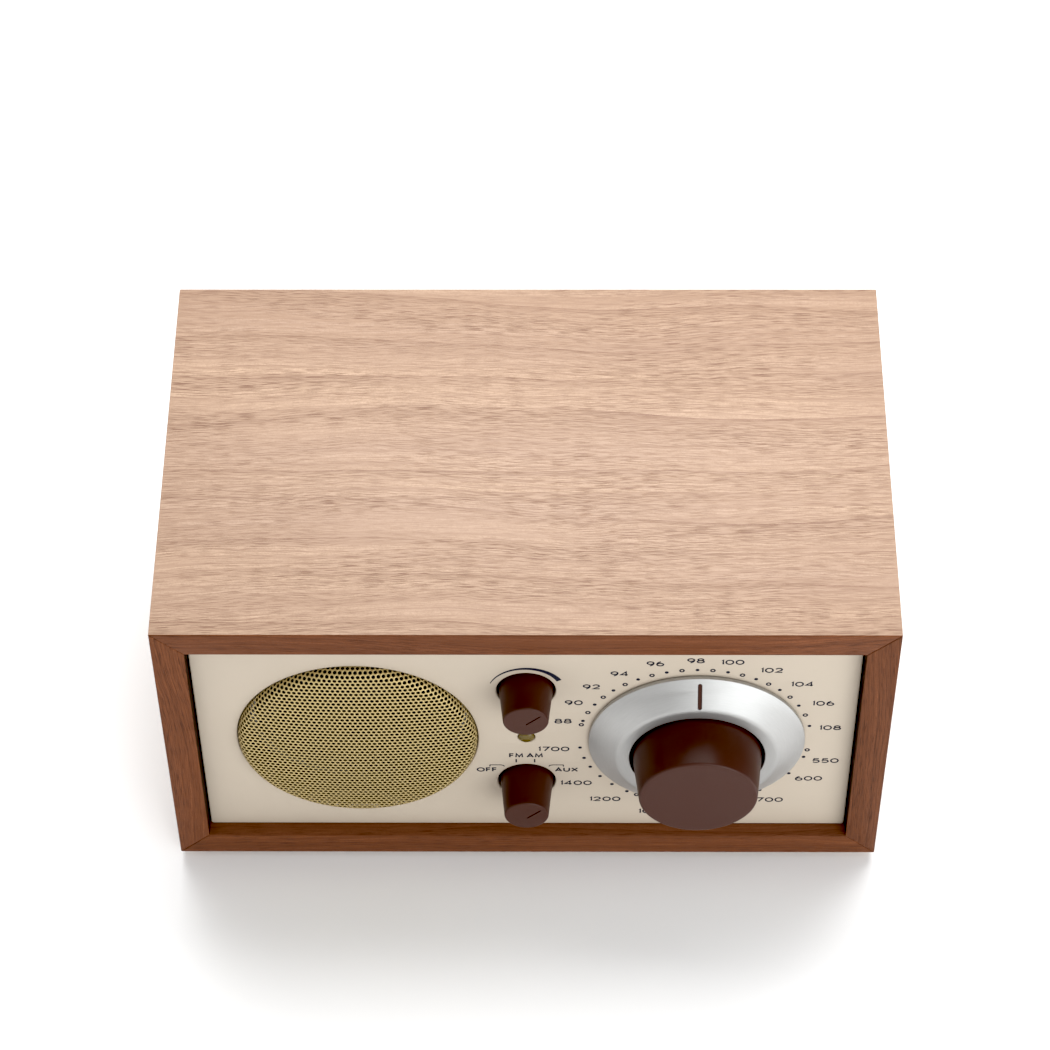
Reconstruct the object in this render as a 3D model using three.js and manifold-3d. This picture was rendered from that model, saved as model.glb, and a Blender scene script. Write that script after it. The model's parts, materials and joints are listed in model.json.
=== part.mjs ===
// Tabletop radio: a mitred walnut cabinet with a recessed front panel, a domed speaker grille, volume and
// selector knobs, and a tuning knob inside a dial ring that turns five times slower than the knob.
// Millimetres, +Z up, front towards -Y, origin under the middle of the whole radio at the table.
//
// Inside the group "radio" x runs to the right, y is the depth behind the cabinet's front edge and
// z is the height above the cabinet's underside.
import * as THREE from "three";
import { mergeVertices } from "three/addons/utils/BufferGeometryUtils.js";
import Module from "manifold-3d";

// ---------------------------------------------------------------- driving dimensions
const CABINET = { width: 212.7, depth: 132, height: 111.3, sideWall: 9.5, topWall: 9.2 };
const FOOT = { height: 3, radius: 8, inset: 18 };
const CLEARANCE = 0.3; // between neighbours that touch on the real radio

const PANEL = { recess: 4.3, thick: 3 };
const BAFFLE = { front: 7.4, thick: 6 };
const REAR_PANEL = { recess: 8, thick: 3 };
const BRACKET = { front: 13.6, thick: 1.2, left: -10.2, right: 72, bottom: 18, top: 93 };

const SPEAKER = { x: -49.75, z: 55.1, opening: 35.6 };
const GRILLE = { radius: 35.3, rimInset: 2.5, rimRise: 2.5, dome: 2.8, sheet: 0.8 };
const CONE_TRAVEL_GAP = 0.35;
const MAGNET_GAP = { inner: 11.6, outer: 13.4 };

const VOLUME = { x: 0, z: 78.8, front: -6.8, markAngle: 45 };
const SELECTOR = { x: 0, z: 32.7, front: -8.4, markAngle: 45 };
const SMALL_KNOB = { hole: 8.6, frontRadius: 6.6, rearRadius: 8.1, rear: 6.8, edge: 0.5 };
const KNOB_MARK = { from: -0.8, to: 5, offset: 1, width: 0.5, depth: 0.35 };
const SHAFT = { radius: 2.95, bore: 3.05 };
const LAMP = { x: 0, z: 55.4, radius: 2.45 };

const DIAL = { x: 50.2, z: 54.9, hole: 10.5 };
const RING = { outer: 31.85, shoulder: 23.6, inner: 19.9, base: 4, rim: 2.9, face: -2.65, rear: 1.2 };
const TUNING_KNOB = { front: -17.1, rear: 1, frontRadius: 17.3, rearRadius: 18.95 };
const POINTER = { from: 24.1, to: 30.4, width: 1.05, thick: 0.5, sink: 0.15, slack: 0.2 };

const PORT = { x: -62, depth: 88, inner: 14, outer: 16, height: 46 };
const SOCKET_Z = 26;

// ---------------------------------------------------------------- shape helpers
const wasm = await Module();
wasm.setup();

function solid(geometry) {
  const bare = geometry.index ? geometry.toNonIndexed() : geometry.clone();
  for (const name of Object.keys(bare.attributes)) {
    if (name !== "position") bare.deleteAttribute(name);
  }
  const merged = mergeVertices(bare, 1e-4);
  return new wasm.Manifold(
    new wasm.Mesh({
      numProp: 3,
      vertProperties: merged.attributes.position.array,
      triVerts: new Uint32Array(merged.index.array),
    }),
  );
}

function geometryOf(body) {
  const mesh = body.getMesh();
  const geometry = new THREE.BufferGeometry();
  geometry.setAttribute("position", new THREE.BufferAttribute(mesh.vertProperties, 3));
  geometry.setIndex(new THREE.BufferAttribute(mesh.triVerts, 1));
  const faceted = geometry.toNonIndexed();
  faceted.computeVertexNormals();
  return faceted;
}

function cut(base, ...tools) {
  return geometryOf(tools.reduce((left, tool) => left.subtract(solid(tool)), solid(base)));
}

function join(first, ...others) {
  return geometryOf(others.reduce((all, other) => all.add(solid(other)), solid(first)));
}

// Sides of the polygon that stands for a circle of this radius.
function sidesFor(radius) {
  if (radius <= 3) return 12;
  if (radius <= 6.5) return 16;
  if (radius <= 15) return 20;
  return radius <= 30 ? 28 : 40;
}

const widest = (profile) => Math.max(...profile.map(([radius]) => radius));

// A turned piece about the depth axis: profile points are [radius, depth], the outside running backwards.
function turned(profile, segments = sidesFor(widest(profile))) {
  const points = profile.map(([radius, depth]) => new THREE.Vector2(radius, depth));
  return new THREE.LatheGeometry(points, segments);
}

// The same about the vertical axis: profile points are [radius, height], the outside running upwards.
function turnedUpright(profile) {
  return turned(profile).rotateX(Math.PI / 2);
}

const tubeProfile = (inner, outer, from, to) => [
  [inner, from],
  [outer, from],
  [outer, to],
  [inner, to],
  [inner, from],
];

const rodProfile = (radius, from, to) => [
  [0, from],
  [radius, from],
  [radius, to],
  [0, to],
];

// A box given by its limits: x, depth and height ranges.
function block([x0, x1], [y0, y1], [z0, z1]) {
  const box = new THREE.BoxGeometry(x1 - x0, y1 - y0, z1 - z0);
  return box.translate((x0 + x1) / 2, (y0 + y1) / 2, (z0 + z1) / 2);
}

// A plate whose outline is drawn in x and z, running from one depth to another.
function plate(outline, from, to, curveSegments = 6) {
  const settings = { depth: to - from, bevelEnabled: false, curveSegments };
  return new THREE.ExtrudeGeometry(outline, settings).rotateX(Math.PI / 2).translate(0, to, 0);
}

const outlineOf = (points) => new THREE.Shape(points.map(([x, z]) => new THREE.Vector2(x, z)));

const rectangle = ([x0, x1], [z0, z1]) =>
  outlineOf([
    [x0, z0],
    [x1, z0],
    [x1, z1],
    [x0, z1],
  ]);

function withHoles(shape, circles) {
  for (const { x, z, radius } of circles) {
    const circle = new THREE.Path().absarc(x, z, radius, 0, 2 * Math.PI, true);
    shape.holes.push(new THREE.Path(circle.getSpacedPoints(sidesFor(radius)).slice(1)));
  }
  return shape;
}

// ---------------------------------------------------------------- materials
function finish(color, roughness, metalness = 0) {
  return new THREE.MeshStandardMaterial({ color, roughness, metalness });
}

const WALNUT = finish(0x9a6a48, 0.5);
const CREAM = finish(0xcfc4b0, 0.55);
const FIBREBOARD = finish(0x8a6b4c, 0.9);
const GOLD_MESH = finish(0xd8c683, 0.35, 0.6);
const BROWN = finish(0x3c1f18, 0.4);
const SILVER = finish(0xc9cbcc, 0.3, 1);
const STEEL = finish(0xa8abad, 0.4, 1);
const BLACK = finish(0x1b1b1c, 0.6);
const RUBBER = finish(0x222223, 0.9);
const PAPER = finish(0x2b2a29, 0.95);
const FERRITE = finish(0x33322f, 0.8);
const COPPER = finish(0xb0683a, 0.4, 0.8);
const BRASS = finish(0xc2a350, 0.35, 0.9);
const BOARD_GREEN = finish(0x24563a, 0.6);
const AMBER = finish(0x8a7a2a, 0.2);

const radio = new THREE.Group();

function add(name, geometry, material, { x = 0, depth = 0, z = 0, turn = 0 } = {}) {
  const mesh = new THREE.Mesh(geometry, material);
  mesh.name = name;
  mesh.position.set(x, depth, z);
  mesh.rotation.y = THREE.MathUtils.degToRad(turn);
  radio.add(mesh);
  return mesh;
}

const INSIDE = {
  x: CABINET.width / 2 - CABINET.sideWall,
  low: CABINET.topWall,
  high: CABINET.height - CABINET.topWall,
};
function panelOutline() {
  const reach = INSIDE.x - CLEARANCE;
  return rectangle([-reach, reach], [INSIDE.low + CLEARANCE, INSIDE.high - CLEARANCE]);
}

// ---------------------------------------------------------------- cabinet
// Four boards mitred at the corners, each a trapezium drawn in x and z.
function cabinet() {
  const { width, depth, height } = CABINET;
  const { x, low, high } = INSIDE;
  const half = width / 2;
  const glue = 0.05;
  const board = (points) => plate(outlineOf(points), 0, depth);
  const top = board([[x, high], [half - glue, height], [glue - half, height], [-x, high]]);
  const bottom = board([[-x, low], [glue - half, 0], [half - glue, 0], [x, low]]);
  const left = board([[-x - glue, high], [-half, height - glue], [-half, glue], [-x - glue, low]]);
  const right = board([[x + glue, low], [half, glue], [half, height - glue], [x + glue, high]]);
  const portHole = turnedUpright(rodProfile(PORT.outer + CLEARANCE, -1, low + 1));
  add("cabinet_top", top, WALNUT);
  add("cabinet_bottom", cut(bottom, portHole.translate(PORT.x, PORT.depth, 0)), WALNUT);
  add("cabinet_left", left, WALNUT);
  add("cabinet_right", right, WALNUT);
}

function feet() {
  const { height, radius, inset } = FOOT;
  const profile = [[0, -height], [radius - 1, -height], [radius, 1 - height], [radius, -0.05], [0, -0.05]];
  const places = {
    foot_front_left: [-1, inset],
    foot_front_right: [1, inset],
    foot_rear_left: [-1, CABINET.depth - inset],
    foot_rear_right: [1, CABINET.depth - inset],
  };
  for (const [name, [side, depth]] of Object.entries(places)) {
    add(name, turnedUpright(profile), RUBBER, { x: side * (CABINET.width / 2 - inset), depth });
  }
}

function bassPort() {
  const { inner, outer, height } = PORT;
  const flare = 2;
  const profile = [
    [inner + flare, 0.2],
    [outer, 0.2],
    [outer, height],
    [inner, height],
    [inner, flare + 1],
  ];
  add("bass_port_tube", turnedUpright([...profile, profile[0]]), BLACK, { x: PORT.x, depth: PORT.depth });
}

// ---------------------------------------------------------------- front
function frontPanel() {
  const holes = [
    { ...SPEAKER, radius: SPEAKER.opening },
    { ...VOLUME, radius: SMALL_KNOB.hole },
    { ...SELECTOR, radius: SMALL_KNOB.hole },
    { ...LAMP, radius: LAMP.radius + 0.1 },
    { ...DIAL, radius: DIAL.hole },
  ];
  const outline = withHoles(panelOutline(), holes);
  add("front_panel", plate(outline, PANEL.recess, PANEL.recess + PANEL.thick), CREAM);
}

function baffle() {
  const holes = [
    { ...SPEAKER, radius: 33.5 },
    { ...VOLUME, radius: 9 },
    { ...SELECTOR, radius: 9 },
    { ...LAMP, radius: 4 },
    { ...DIAL, radius: 12 },
  ];
  const outline = withHoles(panelOutline(), holes);
  add("baffle_board", plate(outline, BAFFLE.front, BAFFLE.front + BAFFLE.thick), FIBREBOARD);
}

// Domed sheet with a rolled rim and a short skirt that sits in the panel's opening.
function grille() {
  const { radius, rimInset, rimRise, dome, sheet } = GRILLE;
  const crown = radius - rimInset;
  const steps = 3;
  const face = (r) => PANEL.recess - rimRise - dome * (1 - (r / crown) ** 2);
  const outside = [];
  for (let i = 0; i <= steps; i += 1) {
    const r = (crown * i) / steps;
    outside.push([r, face(r)]);
  }
  const inside = outside.map(([r, depth]) => [r, depth + sheet]).reverse();
  const skirtEnd = PANEL.recess + PANEL.thick - 0.1;
  const rim = [
    [radius - 0.7, PANEL.recess - 1],
    [radius, PANEL.recess + 0.3],
    [radius, skirtEnd],
    [radius - sheet, skirtEnd],
    [radius - sheet, PANEL.recess + 0.5],
    [radius - 1.5, PANEL.recess - 0.4],
  ];
  add("speaker_grille", turned([...outside, ...rim, ...inside]), GOLD_MESH, SPEAKER);
}

function lamp() {
  const { radius } = LAMP;
  const front = PANEL.recess;
  const back = PANEL.recess + PANEL.thick - 0.2;
  const dome = [[0, front - 0.9], [radius * 0.6, front - 0.6], [radius, front]];
  const profile = [...dome, [radius, back], [0, back]];
  add("indicator_lamp_lens", turned(profile), AMBER, LAMP);
}

// ---------------------------------------------------------------- loudspeaker
function loudspeaker() {
  const flange = { front: BAFFLE.front + BAFFLE.thick + 0.1, back: 15.2, radius: 39, opening: 31 };
  const basketBack = 34;
  const basket = turned(
    [
      [flange.opening, flange.front],
      [flange.radius, flange.front],
      [flange.radius, flange.back],
      [33, flange.back],
      [27, basketBack - 2],
      [27, basketBack],
      [14.5, basketBack],
      [14.5, basketBack - 1.2],
      [25.8, basketBack - 1.2],
      [flange.opening, flange.back],
      [flange.opening, flange.front],
    ],
    32,
  );
  const windows = [0, 1, 2, 3].map((k) =>
    block([-7, 7], [19, 29], [24, 40]).rotateY(Math.PI / 4 + (k * Math.PI) / 2),
  );
  add("speaker_basket", cut(basket, ...windows), STEEL, SPEAKER);

  const magnet = [
    [0, basketBack + 0.3],
    [MAGNET_GAP.inner, basketBack + 0.3],
    [MAGNET_GAP.inner, 46],
    [MAGNET_GAP.outer, 46],
    [MAGNET_GAP.outer, basketBack + 0.3],
    [24, basketBack + 0.3],
    [24, 38.5],
    [29, 38.5],
    [29, 48],
    [24, 48],
    [24, 51.5],
    [0, 51.5],
  ];
  add("speaker_magnet", turned(magnet), FERRITE, SPEAKER);

  const edge = 26.5;
  const neck = 12.95;
  const cone = [
    [edge - 0.9, 14.6],
    [edge, 14.6],
    [edge, 15.4],
    [neck + 0.8, 28],
    [neck, 28],
    [neck, 27.2],
    [edge - 0.9, 14.6],
  ];
  const capFront = [[0, 22.6], [6, 23.3], [10.5, 25.4], [13.3, 27.3]];
  const capBack = [[13.3, 27.9], [10, 26], [6, 24.1], [0, 23.4]];
  add("speaker_cone", join(turned(cone), turned([...capFront, ...capBack], 28)), PAPER, SPEAKER);

  const surround = [
    [edge + CONE_TRAVEL_GAP, 15],
    [27.6, 13.9],
    [29, 13.4],
    [30, 14],
    [30.3, 15],
    [30.3, 15.6],
    [29.8, 15.6],
    [29, 14.2],
    [27.9, 15],
    [edge + CONE_TRAVEL_GAP, 15.6],
    [edge + CONE_TRAVEL_GAP, 15],
  ];
  add("speaker_surround", turned(surround, 28), RUBBER, SPEAKER);

  add("voice_coil", turned(tubeProfile(12.2, 12.75, 28.1, 43.5)), COPPER, SPEAKER);
}

// ---------------------------------------------------------------- volume and selector controls
function controlBracket() {
  const holes = [
    { ...VOLUME, radius: 3.8 },
    { ...SELECTOR, radius: 3.8 },
    { ...DIAL, radius: 6.7 },
  ];
  const outline = rectangle([BRACKET.left, BRACKET.right], [BRACKET.bottom, BRACKET.top]);
  const sheet = plate(withHoles(outline, holes), BRACKET.front, BRACKET.front + BRACKET.thick);
  add("control_bracket", sheet, STEEL);
}

function hexagonNut(radius, bore, from, to) {
  const corners = [];
  for (let i = 0; i < 6; i += 1) {
    const angle = (i * Math.PI) / 3;
    corners.push([radius * Math.cos(angle), radius * Math.sin(angle)]);
  }
  return plate(withHoles(outlineOf(corners), [{ x: 0, z: 0, radius: bore }]), from, to);
}

// The tapered knob with its blind shaft hole. The engraved mark runs upwards beside the axis at turn 0.
function smallKnob(front) {
  const { frontRadius, rearRadius, rear, edge } = SMALL_KNOB;
  const { from, to, offset, width, depth } = KNOB_MARK;
  const body = turned(
    [
      [0, front],
      [frontRadius - edge, front],
      [frontRadius, front + edge],
      [rearRadius, rear],
      [SHAFT.bore, rear],
      [SHAFT.bore, front + 4],
      [0, front + 4],
    ],
    32,
  );
  const mark = block([offset - width / 2, offset + width / 2], [front - 1, front + depth], [from, to]);
  return cut(body, mark);
}

function control(name, place, body) {
  const bracketBack = BRACKET.front + BRACKET.thick;
  const bushing = turned(tubeProfile(SHAFT.bore, 3.6, 11.2, bracketBack + 1));
  const bore = turned(rodProfile(SHAFT.bore, bracketBack - 1, bracketBack + 2), 16);
  add(`${name}_${body.suffix}`, cut(join(bushing, body.geometry), bore), body.material, place);
  add(`${name}_nut`, hexagonNut(5.6, 3.75, 11.9, BRACKET.front - 0.1), STEEL, place);
  const shaft = turned(rodProfile(SHAFT.radius, place.front + 4.2, bracketBack + 1.8), 16);
  add(`${name}_shaft`, shaft, STEEL, place);
  add(`${name}_knob`, smallKnob(place.front), BROWN, { ...place, turn: place.markAngle });
}

function volumeAndSelector() {
  const back = BRACKET.front + BRACKET.thick;
  const can = turned(rodProfile(8.4, back + 0.3, back + 8));
  const switchBody = block([-9, 9], [back + 0.3, back + 11], [-9, 9]);
  control("volume", VOLUME, { suffix: "potentiometer", geometry: can, material: STEEL });
  control("selector", SELECTOR, { suffix: "switch", geometry: switchBody, material: BLACK });
}

// ---------------------------------------------------------------- tuning
const DRIVE = {
  front: 15,
  race: 7.9,
  cageFront: 18,
  cageBack: 26.5,
  cageRadius: 7.4,
  ballDepth: 22,
  orbit: 5,
};
const CAPACITOR = { front: 29, back: 53, plates: 5, pitch: 3.8, sheet: 0.8, rotor: 14 };

function tuningKnob() {
  const { front, rear, frontRadius, rearRadius } = TUNING_KNOB;
  const edge = 0.6;
  const knob = [
    [0, front],
    [frontRadius - edge, front],
    [frontRadius, front + edge],
    [rearRadius, RING.face],
    [rearRadius, rear],
    [SHAFT.bore, rear],
    [SHAFT.bore, -9],
    [0, -9],
  ];
  add("tuning_knob", turned(knob, 48), BROWN, DIAL);
  const shaft = [
    [0, -8.8],
    [SHAFT.radius, -8.8],
    [SHAFT.radius, DRIVE.ballDepth - 3],
    [2, DRIVE.ballDepth - 1.6],
    [2, DRIVE.ballDepth + 1.6],
    [SHAFT.radius, DRIVE.ballDepth + 3],
    [0, DRIVE.ballDepth + 3],
  ];
  add("tuning_shaft", turned(shaft, 16), STEEL, DIAL);
}

// The conical ring with a slot above and one below, each holding a brown pointer.
function dialRing() {
  const { outer, shoulder, inner, base, rim, face, rear } = RING;
  const ring = turned(
    [
      [inner, face],
      [shoulder, face],
      [outer, rim],
      [outer, base],
      [29.3, base],
      [24, rear],
      [inner, rear],
      [inner, face],
    ],
    56,
  );
  const slope = Math.atan2(rim - face, outer - shoulder);
  const { from, to, width, thick, sink, slack } = POINTER;
  const length = (to - from) / Math.cos(slope);
  const middle = (from + to) / 2;
  const surface = face + (middle - shoulder) * Math.tan(slope);
  // Lies on the cone above the axis, its front face a little below the cone's surface.
  const bar = (grow) =>
    new THREE.BoxGeometry(width + 2 * grow, thick + 2 * grow, length + 2 * grow)
      .translate(0, thick / 2 + sink, 0)
      .rotateX(-slope)
      .translate(0, surface, middle);
  const flip = (geometry) => geometry.rotateY(Math.PI);
  add("dial_ring", cut(ring, bar(slack), flip(bar(slack))), SILVER, DIAL);
  add("dial_pointer_fm", bar(0), BROWN, DIAL);
  add("dial_pointer_am", flip(bar(0)), BROWN, DIAL);
}

// The slow side of the drive: hub disc, ball cage and the tuning capacitor's shaft turn with the ring.
function slowSide() {
  const hub = [
    [6.2, 1.5],
    [23.6, 1.5],
    [23.6, 2.7],
    [8.6, 2.7],
    [8.6, 10],
    [6.2, 10],
    [6.2, 1.5],
  ];
  add("dial_hub", turned(hub), BLACK, DIAL);
  const { cageFront, cageBack, cageRadius, ballDepth, orbit } = DRIVE;
  const cage = turned(
    [
      [3.3, 3.2],
      [5.9, 3.2],
      [5.9, cageFront],
      [cageRadius, cageFront],
      [cageRadius, cageBack],
      [3, cageBack],
      [3, CAPACITOR.back],
      [0, CAPACITOR.back],
      [0, ballDepth + 3.4],
      [3.3, ballDepth + 3.4],
      [3.3, 3.2],
    ],
    24,
  );
  const pockets = [0, 1, 2].map((k) =>
    new THREE.SphereGeometry(3.15, 8, 6).translate(0, ballDepth, orbit).rotateY((k * 2 * Math.PI) / 3),
  );
  add("drive_ball_cage", cut(cage, ...pockets), BRASS, DIAL);
}

function driveHousing() {
  const { front, race, cageBack } = DRIVE;
  const housing = [
    [6.5, front + 0.1],
    [14, front + 0.1],
    [14, front + 1.4],
    [11, front + 1.4],
    [11, cageBack + 0.5],
    [race, cageBack + 0.5],
    [race, front + 2.4],
    [6.5, front + 2.4],
    [6.5, front + 0.1],
  ];
  add("tuning_drive_housing", turned(housing), BRASS, DIAL);
}

function halfDisc(radius, hole, from, to) {
  const shape = new THREE.Shape();
  shape.absarc(0, 0, radius, Math.PI, 2 * Math.PI, false);
  shape.lineTo(hole, 0);
  shape.absarc(0, 0, hole, 2 * Math.PI, Math.PI, true);
  shape.closePath();
  return plate(shape, from, to);
}

function tuningCapacitor() {
  const { front, back, plates, pitch, sheet, rotor } = CAPACITOR;
  const first = front + 2.6;
  const cheek = (from) => {
    const outline = withHoles(rectangle([-17, 17], [-21, 12]), [{ x: 0, z: 0, radius: 3.4 }]);
    return plate(outline, from, from + 1.4);
  };
  const floor = block([-17, 17], [front + 0.5, back - 0.9], [-21, -19.5]);
  add("tuning_capacitor_frame", join(cheek(front), cheek(back - 1.9), floor), STEEL, DIAL);

  const stator = [];
  for (let i = 0; i < plates; i += 1) {
    stator.push(halfDisc(17, 5.6, first + i * pitch, first + i * pitch + sheet));
  }
  const rail = block([-4, 4], [first, first + (plates - 1) * pitch + sheet], [-18.6, -15]);
  add("tuning_capacitor_stator", join(rail, ...stator), STEEL, DIAL);

  const vanes = [];
  for (let i = 0; i < plates - 1; i += 1) {
    const from = first + (i + 0.5) * pitch;
    vanes.push(halfDisc(rotor, 3.6, from, from + sheet));
  }
  const sleeve = turned(tubeProfile(3.15, 4.6, first - 0.4, first + (plates - 1) * pitch + 1.2), 16);
  add("tuning_capacitor_rotor", join(sleeve, ...vanes).rotateY(Math.PI / 2), STEEL, DIAL);
}

// ---------------------------------------------------------------- electronics
function boards() {
  add("tuner_board", block([22, 88], [54.2, 55.8], [22, 88]), BOARD_GREEN);
  add("main_board", block([-38, 36], [64, 120], [16, 17.6]), BOARD_GREEN);
  const fins = [];
  for (let i = 0; i < 6; i += 1) {
    fins.push(block([-30 + i * 6, -28.4 + i * 6], [70.5, 82], [18, 44]));
  }
  const wall = block([-30, 1.6], [68, 71], [18, 44]);
  add("amplifier_heat_sink", join(wall, ...fins), SILVER);
}

function transformer() {
  const core = block([-26, 26], [76, 96], [0, 44]);
  const leftWindow = block([-17, -9], [75, 97], [9, 35]);
  const rightWindow = block([9, 17], [75, 97], [9, 35]);
  const place = { x: 66, z: INSIDE.low + 0.3 };
  add("transformer_core", cut(core, leftWindow, rightWindow), STEEL, place);
  const outside = block([-15.5, 15.5], [70, 102], [10, 34]);
  const legHole = block([-9.5, 9.5], [75.5, 96.5], [9, 35]);
  add("transformer_winding", cut(outside, legHole), COPPER, place);
}

function ferriteAntenna() {
  const rod = (radius, half) => turned(rodProfile(radius, -half, half)).rotateZ(Math.PI / 2);
  const place = { x: -6, depth: 84, z: 92 };
  add("ferrite_antenna_rod", rod(4.5, 52), FERRITE, place);
  const coil = turned(tubeProfile(4.8, 6, -12, 12)).rotateZ(Math.PI / 2);
  add("antenna_coil", coil, COPPER, { ...place, x: place.x + 30 });
}

// ---------------------------------------------------------------- rear
const REAR = {
  outside: CABINET.depth - REAR_PANEL.recess,
  inside: CABINET.depth - REAR_PANEL.recess - REAR_PANEL.thick,
};
const INLET = { x: 70, halfWidth: 9.8, halfHeight: 6, depth: 9 };
const BUTTON = { x: -34, radius: 3 };
const SWITCH = { x: -58, z: 48, halfWidth: 5, halfHeight: 2.2, knobHalf: 1.8 };
const AERIAL = { x: -58, z: 70 };
const JACKS = { dc_power_jack: 44, headphone_jack: 14, aux_input_jack: -10 };
const SCREW = { x: 89, low: 16, high: 95 };

function rearPanel() {
  const openings = [
    { x: AERIAL.x, z: AERIAL.z, radius: 5.2 },
    { x: BUTTON.x, z: SOCKET_Z, radius: BUTTON.radius + 0.3 },
    ...Object.values(JACKS).map((x) => ({ x, z: SOCKET_Z, radius: 4.8 })),
    ...[-SCREW.x, SCREW.x].flatMap((x) => [SCREW.low, SCREW.high].map((z) => ({ x, z, radius: 1.9 }))),
  ];
  const panel = plate(withHoles(panelOutline(), openings), REAR.inside, REAR.outside);
  const slot = (x, z, halfWidth, halfHeight) =>
    block(
      [x - halfWidth, x + halfWidth],
      [REAR.inside - 1, REAR.outside + 1],
      [z - halfHeight, z + halfHeight],
    );
  const inletSlot = slot(INLET.x, SOCKET_Z, INLET.halfWidth + 0.2, INLET.halfHeight + 0.2);
  const switchSlot = slot(SWITCH.x, SWITCH.z, SWITCH.halfWidth, SWITCH.halfHeight);
  add("rear_panel", cut(panel, inletSlot, switchSlot), BLACK);
}

// A socket with two contact pins in a hollow the shape of a small appliance plug.
function acInlet() {
  const { halfWidth, halfHeight, depth, x } = INLET;
  const face = REAR.outside + 0.6;
  const body = block([-halfWidth, halfWidth], [face - depth - 4, face], [-halfHeight, halfHeight]);
  const hollow = block([-7.8, 7.8], [face - depth, face + 1], [-4, 4]);
  add("ac_inlet", cut(body, hollow), BLACK, { x, z: SOCKET_Z });
  for (const [name, side] of [["ac_inlet_pin_left", -1], ["ac_inlet_pin_right", 1]]) {
    const pin = turned(rodProfile(1.2, face - depth + 0.1, face - 1));
    add(name, pin, BRASS, { x: x + side * 4.3, z: SOCKET_Z });
  }
}

// Round sockets: the power jack is wide with a centre pin, the other two take a 3.5 mm plug. The
// aerial connector is a threaded barrel, solid but for the small hole of its centre contact.
function jacks() {
  const face = REAR.outside + 1.2;
  const rear = REAR.inside - 9;
  const floor = REAR.inside - 6;
  for (const [name, x] of Object.entries(JACKS)) {
    const power = name === "dc_power_jack";
    const bore = power ? 2.75 : 1.8;
    const jack = [[0, rear], [4.5, rear], [4.5, face], [bore, face], [bore, floor]];
    const pin = [[1, floor], [1, face - 1], [0, face - 1]];
    const middle = power ? pin : [[0, floor]];
    add(name, turned([...jack, ...middle]), BLACK, { x, z: SOCKET_Z });
  }
  const tip = CABINET.depth - 0.4;
  const barrel = [[0, floor], [4.7, floor], [4.7, tip], [0.8, tip], [0.8, REAR.outside], [0, REAR.outside]];
  add("fm_antenna_socket", turned(barrel), BRASS, AERIAL);
}

function switchAndButton() {
  const { knobHalf, halfHeight } = SWITCH;
  const grip = halfHeight - 0.3;
  const slider = join(
    block([-knobHalf, knobHalf], [REAR.inside - 0.5, REAR.outside + 2.4], [-grip, grip]),
    block([-8, 8], [REAR.inside - 2.2, REAR.inside - 0.5], [-3.4, 3.4]),
  );
  // At rest the slider stands at the lower x end of its slot.
  const rest = SWITCH.x - SWITCH.halfWidth + knobHalf + 0.3;
  add("antenna_switch_slider", slider, BLACK, { x: rest, z: SWITCH.z });
  const body = cut(
    block([-13, 13], [REAR.inside - 8, REAR.inside - 0.1], [-5.5, 5.5]),
    block([-12, 12], [REAR.inside - 2.5, REAR.inside + 1], [-3.8, 3.8]),
  );
  add("antenna_switch_body", body, STEEL, { x: SWITCH.x, z: SWITCH.z });
  const cap = turned(
    [
      [0, REAR.inside - 2],
      [BUTTON.radius + 1, REAR.inside - 2],
      [BUTTON.radius + 1, REAR.inside - 0.3],
      [BUTTON.radius, REAR.inside - 0.3],
      [BUTTON.radius, REAR.outside + 1.3],
      [0, REAR.outside + 1.3],
    ],
  );
  add("pairing_button", cap, BLACK, { x: BUTTON.x, z: SOCKET_Z });
}

function rearScrews() {
  const profile = [
    [0, REAR.inside - 8],
    [1.5, REAR.inside - 6],
    [1.5, REAR.outside + 0.1],
    [3, REAR.outside + 0.1],
    [2.6, REAR.outside + 1.3],
    [0, REAR.outside + 1.7],
  ];
  let number = 1;
  for (const x of [-SCREW.x, SCREW.x]) {
    for (const z of [SCREW.low, SCREW.high]) {
      add(`rear_screw_${number}`, turned(profile), STEEL, { x, z });
      number += 1;
    }
  }
}

cabinet();
feet();
bassPort();
frontPanel();
baffle();
grille();
lamp();
loudspeaker();
controlBracket();
volumeAndSelector();
tuningKnob();
dialRing();
slowSide();
driveHousing();
tuningCapacitor();
boards();
transformer();
ferriteAntenna();
rearPanel();
acInlet();
jacks();
switchAndButton();
rearScrews();

// The radio stands on its feet, and the knob's reach in front counts in centring its depth.
radio.position.set(0, -(CABINET.depth + TUNING_KNOB.front) / 2, FOOT.height);
const part = new THREE.Group();
part.add(radio);

export default part;
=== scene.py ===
"""Looks of the tabletop radio: walnut cabinet, cream front panel, gilt grille, knobs and dial."""
import bisect
import math

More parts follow.
